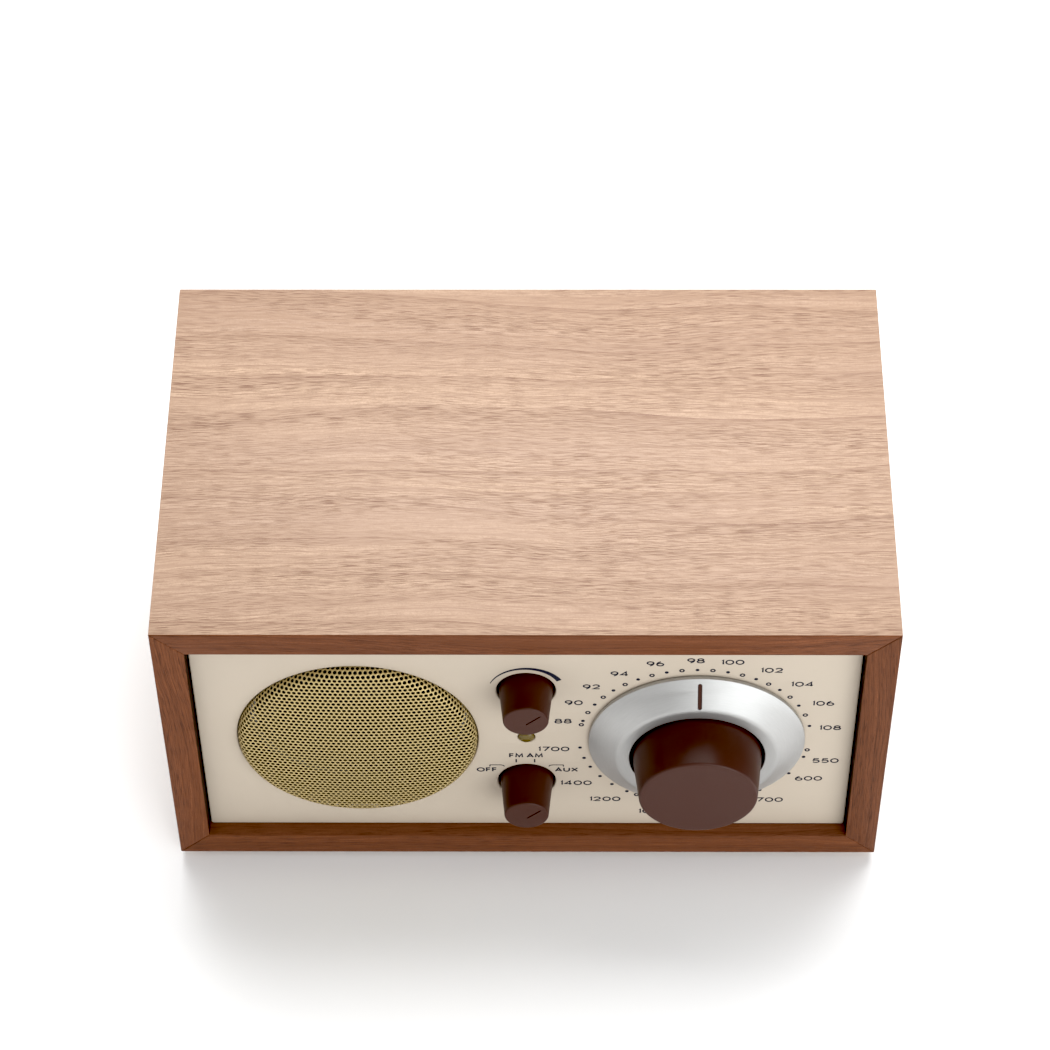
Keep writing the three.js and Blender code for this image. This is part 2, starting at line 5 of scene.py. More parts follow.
import bmesh
import bpy
from mathutils import Matrix, Vector
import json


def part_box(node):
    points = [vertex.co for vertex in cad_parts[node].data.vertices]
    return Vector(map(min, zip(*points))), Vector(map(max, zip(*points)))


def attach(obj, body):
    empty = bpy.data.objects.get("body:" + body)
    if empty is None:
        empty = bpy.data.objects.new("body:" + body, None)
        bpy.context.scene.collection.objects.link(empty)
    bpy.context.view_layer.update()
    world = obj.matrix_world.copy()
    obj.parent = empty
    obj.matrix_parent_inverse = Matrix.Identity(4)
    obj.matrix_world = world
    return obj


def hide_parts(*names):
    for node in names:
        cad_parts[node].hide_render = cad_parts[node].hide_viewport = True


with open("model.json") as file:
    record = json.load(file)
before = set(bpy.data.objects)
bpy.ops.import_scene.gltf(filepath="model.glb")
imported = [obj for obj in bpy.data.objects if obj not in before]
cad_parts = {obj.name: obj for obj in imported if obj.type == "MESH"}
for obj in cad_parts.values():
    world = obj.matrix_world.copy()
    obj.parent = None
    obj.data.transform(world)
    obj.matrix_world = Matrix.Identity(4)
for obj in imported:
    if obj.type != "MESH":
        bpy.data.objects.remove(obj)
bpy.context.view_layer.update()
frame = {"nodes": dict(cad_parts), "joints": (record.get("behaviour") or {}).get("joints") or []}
MM = 0.001
QUARTER = math.pi / 2
SHARP = math.radians(32)
BOARD_SHARP = math.radians(50)


# ---------------------------------------------------------------- places, all taken from the frame
def middle(node):
    low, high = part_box(node)
    return (low + high) / 2


def axis_through(node):
    """x and z of a node's middle."""
    centre = middle(node)
    return centre.x, centre.z


def joint_axis(name):
    """x and z of a hinge's axis."""
    joint = next(j for j in frame["joints"] if j["name"] == name)
    return joint["pos_m"][0], joint["pos_m"][2]


def half_width(node):
    low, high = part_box(node)
    return (high.x - low.x) / 2


CABINET_LOW, CABINET_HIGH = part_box("cabinet_left")[0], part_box("cabinet_right")[1]
FRONT_Y, BACK_Y = CABINET_LOW.y, CABINET_HIGH.y
CABINET_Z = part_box("cabinet_bottom")[0].z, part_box("cabinet_top")[1].z
PANEL_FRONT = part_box("front_panel")[0].y
REAR_INSIDE, REAR_FACE = (corner.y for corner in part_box("rear_panel"))
VOLUME, SELECTOR, DIAL = (joint_axis(n) for n in ("volume_turn", "selector_turn", "dial_turn"))


# ---------------------------------------------------------------- mesh helpers
def rotate(angle, axis):
    return Matrix.Rotation(angle, 4, axis)


def move(x, y, z):
    return Matrix.Translation((x, y, z))


def moved(bm, place):
    bmesh.ops.transform(bm, matrix=place, verts=bm.verts)
    return bm


def in_scene(name, data):
    """A new object with this data, linked to the scene."""
    item = bpy.data.objects.new(name, data)
    bpy.context.scene.collection.objects.link(item)
    return item


def evaluated_mesh(item):
    """The object's mesh with its modifiers applied, or its curve filled."""
    bpy.context.view_layer.update()
    graph = bpy.context.evaluated_depsgraph_get()
    return bpy.data.meshes.new_from_object(item.evaluated_get(graph))


def finish_mesh(name, bm, materials, body, replaces=(), sharp=SHARP):
    """Turns a bmesh into a piece: smooth shading with sharp edges, materials, body and nodes."""
    bmesh.ops.remove_doubles(bm, verts=bm.verts, dist=1e-7)
    bmesh.ops.recalc_face_normals(bm, faces=bm.faces)
    for face in bm.faces:
        face.smooth = True
    for edge in bm.edges:
        if len(edge.link_faces) == 2 and edge.calc_face_angle(0) > sharp:
            edge.smooth = False
    mesh = bpy.data.meshes.new(name)
    bm.to_mesh(mesh)
    bm.free()
    piece = in_scene(name, mesh)
    for material in materials:
        mesh.materials.append(material)
    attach(piece, body)
    if replaces:
        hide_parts(*replaces)
    return piece


def combine(piece, tool_mesh, operation="DIFFERENCE"):
    """Cuts the piece with a loose mesh, or joins the two."""
    bmesh.ops.recalc_face_normals(tool_mesh, faces=tool_mesh.faces)
    mesh = bpy.data.meshes.new("tool")
    tool_mesh.to_mesh(mesh)
    tool_mesh.free()
    tool = in_scene("tool", mesh)
    modifier = piece.modifiers.new("boolean", "BOOLEAN")
    modifier.object = tool
    modifier.operation = operation
    modifier.solver = "EXACT"
    result, old = evaluated_mesh(piece), piece.data
    piece.modifiers.remove(modifier)
    piece.data = result
    bpy.data.objects.remove(tool)
    for spent in (old, mesh):
        bpy.data.meshes.remove(spent)


def rounded(points, radii, steps=5):
    """The polyline with each corner that has a radius replaced by an arc."""
    result = []
    for i, point in enumerate(points):
        radius = radii.get(i, 0)
        if not radius or i in (0, len(points) - 1):
            result.append(tuple(point))
            continue
        corner = Vector(point)
        to_last = (Vector(points[i - 1]) - corner).normalized()
        to_next = (Vector(points[i + 1]) - corner).normalized()
        half = to_last.angle(to_next) / 2
        reach = radius / math.tan(half)
        centre = corner + (to_last + to_next).normalized() * (radius / math.sin(half))
        start, end = corner + to_last * reach - centre, corner + to_next * reach - centre
        for k in range(steps + 1):
            result.append(tuple(centre + start.slerp(end, k / steps).normalized() * radius))
    return result


def around(centre, radius, angle):
    """The point at this radius, its angle in radians clockwise from the top."""
    return centre[0] + radius * math.sin(angle), centre[1] + radius * math.cos(angle)


def circle(centre, radius, sides):
    return [around(centre, radius, 2 * math.pi * k / sides) for k in range(sides)]


def rectangle(x0, x1, z0, z1, radius, steps=6):
    """A rectangle's outline with round corners."""
    outline = []
    corners = [(x1 - radius, z1 - radius), (x0 + radius, z1 - radius)]
    corners += [(x0 + radius, z0 + radius), (x1 - radius, z0 + radius)]
    for quarter, (x, z) in enumerate(corners):
        for k in range(steps + 1):
            angle = QUARTER * (quarter + k / steps)
            outline.append((x + radius * math.cos(angle), z + radius * math.sin(angle)))
    return outline


def lathe(profile, axis, segments, closed):
    """Revolves [radius, y] points, in metres, about the line through axis (x, z) along Y."""
    bm = bmesh.new()
    rings = []
    for radius, y in profile:
        if radius < 1e-7:
            rings.append([bm.verts.new((axis[0], y, axis[1]))] * segments)
        else:
            rings.append([bm.verts.new((x, y, z)) for x, z in circle(axis, radius, segments)])
    pairs = list(zip(rings, rings[1:]))
    if closed:
        pairs.append((rings[-1], rings[0]))
    for first, second in pairs:
        for k in range(segments):
            after = (k + 1) % segments
            unique = list(dict.fromkeys([first[k], first[after], second[after], second[k]]))
            if len(unique) > 2:
                bm.faces.new(unique)
    return bm


def turned(name, node, profile, axis, material, segments, body="cabinet", closed=False):
    bm = lathe(profile, axis, segments, closed)
    return finish_mesh(name, bm, [material], body, [node])


def turned_upright(name, node, profile, material, closed=False):
    """Revolves [radius, z] points about the vertical through the node's middle."""
    centre = middle(node)
    stand = move(centre.x, centre.y, 0) @ rotate(QUARTER, "X")
    bm = moved(lathe(profile, (0, 0), 64, closed), stand)
    return finish_mesh(name, bm, [material], "cabinet", [node])


def prism(first, second):
    """A closed solid between two outlines with the same number of points."""
    bm = bmesh.new()
    low = [bm.verts.new(point) for point in first]
    high = [bm.verts.new(point) for point in second]
    bm.faces.new(low[::-1])
    bm.faces.new(high)
    for k in range(len(low)):
        bm.faces.new([low[k - 1], low[k], high[k], high[k - 1]])
    return bm


def bar_mesh(length, width, height, place):
    """A bar with round ends along X, its top and bottom along Z, then moved to its place."""
    steps, radius = 8, width / 2
    outline = []
    for side in (1, -1):
        for k in range(steps + 1):
            angle = -QUARTER + math.pi * k / steps
            x = side * (length / 2 - radius + radius * math.cos(angle))
            outline.append((x, side * radius * math.sin(angle)))
    low, high = ([(x, y, side * height / 2) for x, y in outline] for side in (-1, 1))
    return moved(prism(low, high), place)


def block_mesh(low, high, bevel):
    """A block between two corners, with rounded edges."""
    bm = bmesh.new()
    bmesh.ops.create_cube(bm, size=1.0)
    moved(bm, Matrix.Translation((low + high) / 2) @ Matrix.Diagonal((*(high - low), 1)))
    round_edges(bm, list(bm.edges), bevel, 3)
    return bm


def round_edges(bm, edges, offset, segments):
    bmesh.ops.bevel(
        bm, geom=edges, offset=offset, offset_type="OFFSET", segments=segments, profile=0.5,
        affect="EDGES",
    )


def plate(name, node, holes, bevel, material):
    """A flat plate with holes and rolled edges: a filled 2D curve in x and z, solid along Y."""
    low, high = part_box(node)
    outer = rectangle(low.x, high.x, low.z, high.z, 0.8 * MM)
    curve = bpy.data.curves.new(name, "CURVE")
    curve.dimensions = "2D"
    curve.fill_mode = "BOTH"
    curve.extrude = (high.y - low.y) / 2 - bevel
    curve.bevel_depth = bevel
    curve.bevel_resolution = 3
    curve.offset = -bevel
    for outline in [outer, *holes]:
        spline = curve.splines.new("POLY")
        spline.points.add(len(outline) - 1)
        for point, (x, z) in zip(spline.points, outline):
            point.co = (x, z, 0, 1)
        spline.use_cyclic_u = True
    drawing = in_scene(name + "_drawing", curve)
    mesh = evaluated_mesh(drawing)
    bpy.data.objects.remove(drawing)
    bm = bmesh.new()
    bm.from_mesh(mesh)
    bpy.data.meshes.remove(mesh)
    moved(bm, move(0, (low.y + high.y) / 2, 0) @ rotate(QUARTER, "X"))
    return finish_mesh(name, bm, [material], "cabinet", [node])


# ---------------------------------------------------------------- material helpers
class Shader:
    """A material under construction: its node tree, its Principled shader, ways to add nodes."""

    def __init__(self, name, **surface):
        self.material = bpy.data.materials.new(name)
        self.material.use_nodes = True
        self.tree = self.material.node_tree
        self.surface = self.tree.nodes["Principled BSDF"]
        for key, value in surface.items():
            self.set(key.replace("_", " "), value)

    def feed(self, socket, value):
        """Links an output to the socket, or sets its value; a colour is given without alpha."""
        if isinstance(value, bpy.types.NodeSocket):
            self.tree.links.new(value, socket)
        elif socket.type == "RGBA":
            socket.default_value = (*value, 1)
        else:
            socket.default_value = value

    def set(self, name, value):
        sockets = {socket.name.lower(): socket for socket in self.surface.inputs}
        self.feed(sockets[name.lower()], value)

    def node(self, kind, inputs, **settings):
        node = self.tree.nodes.new(kind)
        for key, value in settings.items():
            setattr(node, key, value)
        for key, value in inputs.items():
            self.feed(node.inputs[key], value)
        return node

    def place(self, scale=(1, 1, 1), turn=(0, 0, 0), shift=(0, 0, 0)):
        """Object coordinates, turned, shifted and scaled."""
        coordinates = self.node("ShaderNodeTexCoord", {}).outputs["Object"]
        inputs = {"Vector": coordinates, "Rotation": turn, "Location": shift, "Scale": scale}
        return self.node("ShaderNodeMapping", inputs).outputs["Vector"]

    def split(self, vector):
        node = self.node("ShaderNodeSeparateXYZ", {"Vector": vector})
        return [node.outputs[k] for k in range(3)]

    def joined(self, *parts):
        return self.node("ShaderNodeCombineXYZ", dict(enumerate(parts))).outputs[0]

    def noise(self, vector, scale=1.0, detail=2.0, roughness=0.5):
        inputs = {"Vector": vector, "Scale": scale, "Detail": detail, "Roughness": roughness}
        return self.node("ShaderNodeTexNoise", inputs).outputs["Fac"]

    def math(self, operation, *values):
        inputs = dict(enumerate(values))
        return self.node("ShaderNodeMath", inputs, operation=operation).outputs[0]

    def times(self, first, second):
        return self.math("MULTIPLY", first, second)

    def times_plus(self, first, second, third):
        return self.math("MULTIPLY_ADD", first, second, third)

    def ramp(self, factor, start, end, low=0.0, high=1.0):
        """Grey that goes from low, where the factor is start, to high, where it is end."""
        node = self.node("ShaderNodeValToRGB", {"Fac": factor})
        for element, place, grey in zip(node.color_ramp.elements, (start, end), (low, high)):
            element.position = place
            element.color = (grey, grey, grey, 1)
        return node.outputs["Color"]

    def mix(self, factor, first, second):
        inputs = {0: factor, 6: first, 7: second}
        return self.node("ShaderNodeMix", inputs, data_type="RGBA").outputs[2]

    def bump(self, height, distance, strength=0.5):
        inputs = {"Height": height, "Distance": distance, "Strength": strength}
        self.set("Normal", self.node("ShaderNodeBump", inputs).outputs["Normal"])


def blend(first, second, share):
    """The colour this share of the way from the first to the second."""
    return tuple((1 - share) * a + share * b for a, b in zip(first, second))


def walnut(name, light, dark, grain="x", shift=(0, 0, 0), gloss=0.5, contrast=1.0, roughness=0.5,
           density=1.0, pores=0.95):
    """Open-pored walnut veneer. The grain runs along X, or along Z for the upright boards.

    density is how closely the growth rings stand, pores how dark the open pores are.
    """
    shader = Shader(name, specular_ior_level=gloss)
    turn = (0, 0, 0) if grain == "x" else (0, QUARTER, 0)
    along, across, through = shader.split(shader.place(turn=turn, shift=shift))
    flat = shader.times_plus(through, 0.9, across)

    def stretched(x, y, lane):
        """Coordinates with x features to the metre along the grain and y across it."""
        return shader.joined(shader.times(along, x), shader.times(lane, y))

    def ring_position(lane, per_metre, drift, wander):
        """0 to 1 across each growth ring; the rings wander with the drift."""
        return shader.math("FRACT", shader.times_plus(lane, per_metre, shader.times(drift, wander)))

    # The grain wanders slowly, and quivers a little from fibre to fibre.
    wave = shader.noise(stretched(6, 9, flat), detail=2.5)
    lane = shader.times_plus(wave, 0.020, flat)
    quiver = shader.noise(stretched(55, 70, flat), detail=2)
    fine_lane = shader.times_plus(quiver, 0.0014, lane)

    # Growth rings: each ends in a thin dark line with a soft shade before it.
    ring = ring_position(lane, 66.0 * density, shader.noise(stretched(2.2, 15, lane)), 4.2)
    shade = shader.math("POWER", ring, 2.5)
    strength = shader.ramp(shader.noise(stretched(10, 60, lane)), 0.34, 0.58, low=0.15)
    line = shader.times(shader.math("POWER", ring, 22.0), strength)
    fine_drift = shader.noise(stretched(5, 40, lane))
    fine_ring = ring_position(fine_lane, 300.0 * density, fine_drift, 6.0)
    fine_line = shader.times(shader.math("POWER", fine_ring, 6.0), strength)

    # From broad cloudy bands down to single fibres, specks and pores.
    tint = shader.noise(stretched(4, 38, lane))
    bands = shader.noise(stretched(5, 230 * density, fine_lane), detail=3, roughness=0.65)
    streaks = shader.noise(stretched(6, 900, fine_lane), detail=4, roughness=0.75)
    fibres = shader.noise(stretched(75, 3700, fine_lane), detail=3, roughness=0.75)
    speckle = shader.noise(shader.place(scale=(1500, 1500, 1500)), roughness=0.8)
    dashes = shader.ramp(shader.noise(stretched(150, 5200, fine_lane), detail=1), 0.53, 0.64)
    crowd = shader.times_plus(shade, 0.12, shader.noise(stretched(12, 90, lane), detail=3))
    pore = shader.times(dashes, shader.ramp(crowd, 0.36, 0.66, low=0.25))

    def stronger(amount):
        return min(1.0, amount * contrast)

    medium = blend(light, dark, 0.5)
    grey = tuple(m + (l - m) * s for m, l, s in zip(medium, light, (0.58, 0.62, 0.75)))
    layers = [
        (shader.ramp(tint, 0.38, 0.62), grey),
        (shader.times(shade, 0.30 * contrast), medium),
        (shader.ramp(bands, 0.47, 0.63, high=stronger(0.5)), medium),
        (shader.times(line, stronger(0.9)), dark),
        (shader.times(fine_line, 0.45 * contrast), dark),
        (shader.ramp(streaks, 0.44, 0.66, high=stronger(0.75)), medium),
        (shader.ramp(fibres, 0.36, 0.58, low=stronger(0.75), high=0.0), medium),
        (shader.ramp(speckle, 0.36, 0.58, low=0.55, high=0.0), medium),
        (shader.times(pore, pores), blend(dark, light, 0.1)),
    ]
    tone = light
    for share, colour in layers:
        tone = shader.mix(share, tone, colour)
    shader.set("Base Color", tone)
    shader.set("Roughness", shader.times_plus(fibres, 0.2, roughness - 0.1))
    shader.bump(shader.math("SUBTRACT", shader.times(fibres, 0.4), pore), 0.00008, 0.7)
    return shader.material


def moulded(name, colour, roughness=0.45, grain_scale=2500.0, grain_depth=0.00002, vary=0.12,
            **surface):
    """Moulded or painted surface: a fine even texture, slight cloudiness in colour and gloss."""
    shader = Shader(name, **surface)
    cloud = shader.noise(shader.place(), scale=45.0, detail=3, roughness=0.6)
    fine = shader.noise(shader.place(), scale=grain_scale, roughness=0.7)
    low = tuple(c * (1 - vary) for c in colour)
    high = tuple(min(1.0, c * (1 + vary)) for c in colour)
    share = shader.times_plus(fine, 0.35, shader.times(cloud, 0.65))
    shader.set("Base Color", shader.mix(share, low, high))
    shader.set("Roughness", shader.times_plus(cloud, 0.10, roughness - 0.05))
    shader.bump(fine, grain_depth)
    return shader.material


def metal(name, colour, roughness=0.3):
    """Metal with fine tool marks."""
    shader = Shader(name, metallic=1.0)
    marks = shader.noise(shader.place(scale=(900, 900, 900)), detail=3, roughness=0.65)
    cloud = shader.noise(shader.place(), scale=60.0)
    low = tuple(c * 0.86 for c in colour)
    shader.set("Base Color", shader.mix(shader.ramp(marks, 0.3, 0.7), low, colour))
    shader.set("Roughness", shader.times_plus(cloud, 0.12, roughness - 0.06))
    shader.bump(marks, 0.000012)
    return shader.material


def spun_aluminium(name, axis):
    """Satin aluminium with fine concentric turning marks about the dial's axis."""
    shader = Shader(name, metallic=0.85, anisotropic=0.35)
    x, y, z = shader.split(shader.place(shift=(-axis[0], 0, -axis[1])))
    squares = shader.math("ADD", shader.times(x, x), shader.times(z, z))
    radius = shader.times(shader.math("SQRT", squares), 5200.0)
    turn = shader.times(shader.math("ARCTAN2", x, z), 5.0)
    rings = shader.noise(shader.joined(radius, turn, y), detail=3, roughness=0.7)
    cloud = shader.noise(shader.place(), scale=90.0, detail=3)
    shader.set("Base Color", shader.mix(rings, (0.42, 0.415, 0.405), (0.52, 0.515, 0.505)))
    shader.set("Roughness", shader.times_plus(cloud, 0.10, 0.43))
    shader.bump(rings, 0.00001)
    return shader.material


VENEER_DARK = (0.17, 0.074, 0.040)
VENEER = walnut("walnut_veneer", (0.585, 0.405, 0.28), VENEER_DARK, contrast=1.25)
VENEER_SIDE = walnut(
    "walnut_veneer_side", (0.565, 0.39, 0.268), VENEER_DARK, grain="z", shift=(0.3, 0.07, 0.11),
    contrast=1.25,
)
STAINED = {
    "light": (0.265, 0.092, 0.037), "dark": (0.018, 0.004, 0.002), "gloss": 0.2,
    "contrast": 2.1, "roughness": 0.55, "density": 3.0, "pores": 0.7,
}
# A darker copy of the stained edging for the right board's front: painted shade on the right side.
STAINED_SHADED_RIGHT = STAINED | {"light": (0.235, 0.082, 0.034), "dark": (0.015, 0.004, 0.002)}
EDGING = walnut("walnut_edging", shift=(0.11, 0.4, 0.2), **STAINED)
EDGING_LEFT = walnut("walnut_edging_side", grain="z", shift=(0.5, 0.21, 0.03), **STAINED)
EDGING_RIGHT = walnut("walnut_edging_right", grain="z", shift=(0.2, 0.33, 0.07), **STAINED_SHADED_RIGHT)
RECESS = walnut(
    "walnut_recess", (0.25, 0.098, 0.048), (0.075, 0.022, 0.010), shift=(0.7, 0.1, 0.3),
    gloss=0.15, roughness=0.6,
)
# Stained walnut darkened to near black for the narrow inner side walls beside the panel: painted
# shade in the gap between panel and frame.
STAIN_IN_PAINTED_SHADE = moulded(
    "stain_in_painted_shade", (0.020, 0.008, 0.004), roughness=0.7, vary=0.25, specular_ior_level=0.15,
)
CREAM = moulded(
    "cream_lacquer", (0.505, 0.432, 0.348), roughness=0.5, grain_scale=900.0,
    grain_depth=0.000015, vary=0.03, specular_ior_level=0.3,
)
INK = moulded(
    "printing_ink", (0.010, 0.011, 0.024), roughness=0.6, vary=0.2, specular_ior_level=0.2,
)
GILT = moulded(
    "gilt_paint", (0.51, 0.39, 0.172), roughness=0.38, grain_scale=3000.0, vary=0.10,
    metallic=0.35,
)
# Darker gilt for the cut walls of the grille's holes: painted shade standing in for the unlit hole
# walls.
GILT_IN_PAINTED_SHADE = moulded(
    "gilt_holes_painted_shade", (0.20, 0.14, 0.045), roughness=0.5, grain_scale=3000.0, vary=0.10,
    metallic=0.2,
)
BROWN = moulded(
    "brown_knob", (0.052, 0.0160, 0.0088), roughness=0.42, grain_scale=2600.0,
    specular_ior_level=0.25, coat_weight=0.06, coat_roughness=0.2,
)
SPUN = spun_aluminium("spun_aluminium", DIAL)
BLACK = moulded(
    "black_plastic", (0.018, 0.018, 0.019), roughness=0.5, grain_depth=0.00004, vary=0.2,
)
BLACK_PLATE = moulded(
    "black_rear_plate", (0.014, 0.014, 0.015), roughness=0.6, grain_scale=1100.0,
    grain_depth=0.00008, vary=0.25, specular_ior_level=0.3,
)
RUBBER = moulded(
    "black_rubber", (0.020, 0.020, 0.020), roughness=0.8, grain_scale=1800.0,
    grain_depth=0.00006, vary=0.25,
)
STEEL = metal("plain_steel", (0.60, 0.61, 0.62), roughness=0.32)
NICKEL = metal("nickel_plate", (0.72, 0.70, 0.66), roughness=0.22)
BRASS = metal("brass", (0.74, 0.58, 0.28))
COPPER = metal("copper_wire", (0.72, 0.36, 0.18), roughness=0.35)
FERRITE = moulded("ferrite", (0.045, 0.044, 0.042), roughness=0.7, vary=0.3)
PAPER = moulded(
    "cone_paper", (0.030, 0.029, 0.028), roughness=0.95, grain_scale=1200.0,
    grain_depth=0.0001, vary=0.3,
)
BOARD = moulded("circuit_board", (0.020, 0.105, 0.055), roughness=0.35, vary=0.25)
BLACK_WOOD = moulded(
    "blackened_board", (0.02, 0.018, 0.016), roughness=0.85, grain_scale=1400.0, vary=0.3,
)
AMBER = moulded(
    "amber_lens", (0.13, 0.085, 0.006), roughness=0.15, vary=0.4, transmission_weight=0.15,
    ior=1.5,
)


# ---------------------------------------------------------------- cabinet
END_ROUNDING = 0.35 * MM
CORNER_ROUNDING = 0.16 * MM


def mitred_board(name, node, outline, materials):
    """A board from its outline in x and z. Its materials: outside, front edge and inside."""
    bm = prism([(x, FRONT_Y, z) for x, z in outline], [(x, BACK_Y, z) for x, z in outline])
    bmesh.ops.recalc_face_normals(bm, faces=bm.faces)

    def run(edge):
        return abs(edge.verts[0].co.y - edge.verts[1].co.y)

    round_edges(bm, [e for e in bm.edges if run(e) < 1e-6], END_ROUNDING, 3)
    long_edges = [e for e in bm.edges if run(e) > 0.1]
    corners = [e for e in long_edges if e.calc_face_angle(0) > math.radians(40)]
    round_edges(bm, corners, CORNER_ROUNDING, 2)
    bmesh.ops.recalc_face_normals(bm, faces=bm.faces)
    heart_z = sum(CABINET_Z) / 2
    for face in bm.faces:
        centre = face.calc_center_median()
        inwards = face.normal.dot(Vector((-centre.x, 0, heart_z - centre.z))) > 0
        face.material_index = 1 if face.normal.y < -0.35 else 2 if inwards else 0
    return finish_mesh(name, bm, materials, "cabinet", [node], BOARD_SHARP)


def cabinet():
    x0, x1 = CABINET_LOW.x, CABINET_HIGH.x
    z0, z1 = CABINET_Z
    left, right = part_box("cabinet_left")[1].x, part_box("cabinet_right")[0].x
    low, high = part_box("cabinet_bottom")[1].z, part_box("cabinet_top")[0].z
    flat = [VENEER, EDGING, RECESS]
    outlines = {
        "top": ([(left, high), (right, high), (x1, z1), (x0, z1)], flat),
        "bottom": ([(left, low), (x0, z0), (x1, z0), (right, low)], flat),
        "left": (
            [(left, high), (x0, z1), (x0, z0), (left, low)],
            [VENEER_SIDE, EDGING_LEFT, STAIN_IN_PAINTED_SHADE],
        ),
        "right": (
            [(right, low), (x1, z0), (x1, z1), (right, high)],
            [VENEER_SIDE, EDGING_RIGHT, STAIN_IN_PAINTED_SHADE],
        ),
    }
    boards = {}
    for side, (outline, materials) in outlines.items():
        boards[side] = mitred_board(side + "_board", "cabinet_" + side, outline, materials)
    port = middle("bass_port_tube")
    reach = half_width("bass_port_tube") + 0.2 * MM
    bm = bmesh.new()
    bmesh.ops.create_cone(
        bm, cap_ends=True, segments=96, radius1=reach, radius2=reach, depth=60 * MM,
        matrix=move(port.x, port.y, z0),
    )
    combine(boards["bottom"], bm)


def feet():
    for corner in ("front_left", "front_right", "rear_left", "rear_right"):
        node = "foot_" + corner
        low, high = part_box(node)
        radius = half_width(node)
        profile = [(0, low.z), (radius - 1.0 * MM, low.z), (radius, low.z + 1.2 * MM)]
        profile += [(radius, high.z), (0, high.z)]
        profile = rounded(profile, {1: 0.8 * MM, 2: 0.6 * MM})
        turned_upright("rubber_foot_" + corner, node, profile, RUBBER)


def bass_port():
    """A tube with a flared mouth."""
    low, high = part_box("bass_port_tube")
    outer = half_width("bass_port_tube")
    inner = outer - 2 * MM
    profile = [(inner, high.z), (inner, low.z + 4 * MM), (outer - 0.1 * MM, low.z)]
    profile += [(outer, low.z + 0.2 * MM), (outer, high.z)]
    profile = rounded(profile, {1: 5 * MM, 2: 0.1 * MM}, steps=8)
    turned_upright("port_tube", "bass_port_tube", profile, BLACK, closed=True)


# ---------------------------------------------------------------- front panel, printing and lamp
PANEL_ROUNDING = 0.45 * MM
KNOB_HOLE = 8.6 * MM
DIAL_HOLE = 10.5 * MM
GRILLE_GAP = 0.25 * MM
LAMP_GAP = 0.12 * MM


def front_panel():
    grille_hole = half_width("speaker_grille") + GRILLE_GAP
    lamp_hole = half_width("indicator_lamp_lens") + LAMP_GAP
    holes = [
        circle(axis_through("speaker_grille"), grille_hole, 160),
        circle(VOLUME, KNOB_HOLE, 96),
        circle(SELECTOR, KNOB_HOLE, 96),
        circle(axis_through("indicator_lamp_lens"), lamp_hole, 48),
        circle(DIAL, DIAL_HOLE, 96),
    ]
    plate("panel", "front_panel", holes, PANEL_ROUNDING, CREAM)


def arc(cx, cy, rx, ry, start, end, steps=14):
    """Points on an ellipse, angles in degrees, anticlockwise from the right."""
    angles = [math.radians(start + (end - start) * k / steps) for k in range(steps + 1)]
    return [(cx + rx * math.cos(a), cy + ry * math.sin(a)) for a in angles]


def oval(cx, cy, rx, ry):
    return arc(cx, cy, rx, ry, 90, 450, 28)


# Each glyph is its width and its strokes, in units of the letter height: a wide, flat face.
GLYPHS = {
    "0": (1.10, [oval(0.55, 0.5, 0.55, 0.5)]),
    "1": (0.16, [[(0.0, 0.82), (0.16, 1.0), (0.16, 0.0)]]),
    "2": (1.00, [arc(0.48, 0.69, 0.46, 0.31, 168, -36) + [(0.02, 0.0), (1.0, 0.0)]]),
    "4": (1.06, [[(0.80, 0.0), (0.80, 1.0), (0.0, 0.26), (1.06, 0.26)]]),
    "5": (0.98, [
        [(0.92, 1.0), (0.20, 1.0), (0.10, 0.56)] + arc(0.48, 0.32, 0.50, 0.32, 130, -152),
    ]),
    "6": (1.00, [oval(0.52, 0.31, 0.48, 0.31), arc(0.72, 0.34, 0.68, 0.66, 180, 98)]),
    "7": (0.96, [[(0.0, 1.0), (0.96, 1.0), (0.30, 0.0)]]),
    "8": (1.00, [oval(0.50, 0.76, 0.40, 0.24), oval(0.50, 0.27, 0.50, 0.27)]),
    "9": (1.00, [oval(0.48, 0.69, 0.48, 0.31), arc(0.28, 0.66, 0.68, 0.66, 0, -82)]),
    "F": (0.62, [[(0.0, 0.0), (0.0, 1.0), (0.62, 1.0)], [(0.0, 0.53), (0.56, 0.53)]]),
    "M": (1.10, [[(0.0, 0.0), (0.08, 1.0), (0.55, 0.15), (1.02, 1.0), (1.10, 0.0)]]),
    "A": (1.02, [[(0.0, 0.0), (0.51, 1.0), (1.02, 0.0)], [(0.16, 0.30), (0.86, 0.30)]]),
    "O": (1.16, [oval(0.58, 0.5, 0.58, 0.5)]),
    "U": (0.90, [[(0.0, 1.0)] + arc(0.45, 0.36, 0.45, 0.36, 180, 360) + [(0.90, 1.0)]]),
    "X": (0.98, [[(0.0, 0.0), (0.98, 1.0)], [(0.0, 1.0), (0.98, 0.0)]]),
}
LETTER_GAP = 0.42


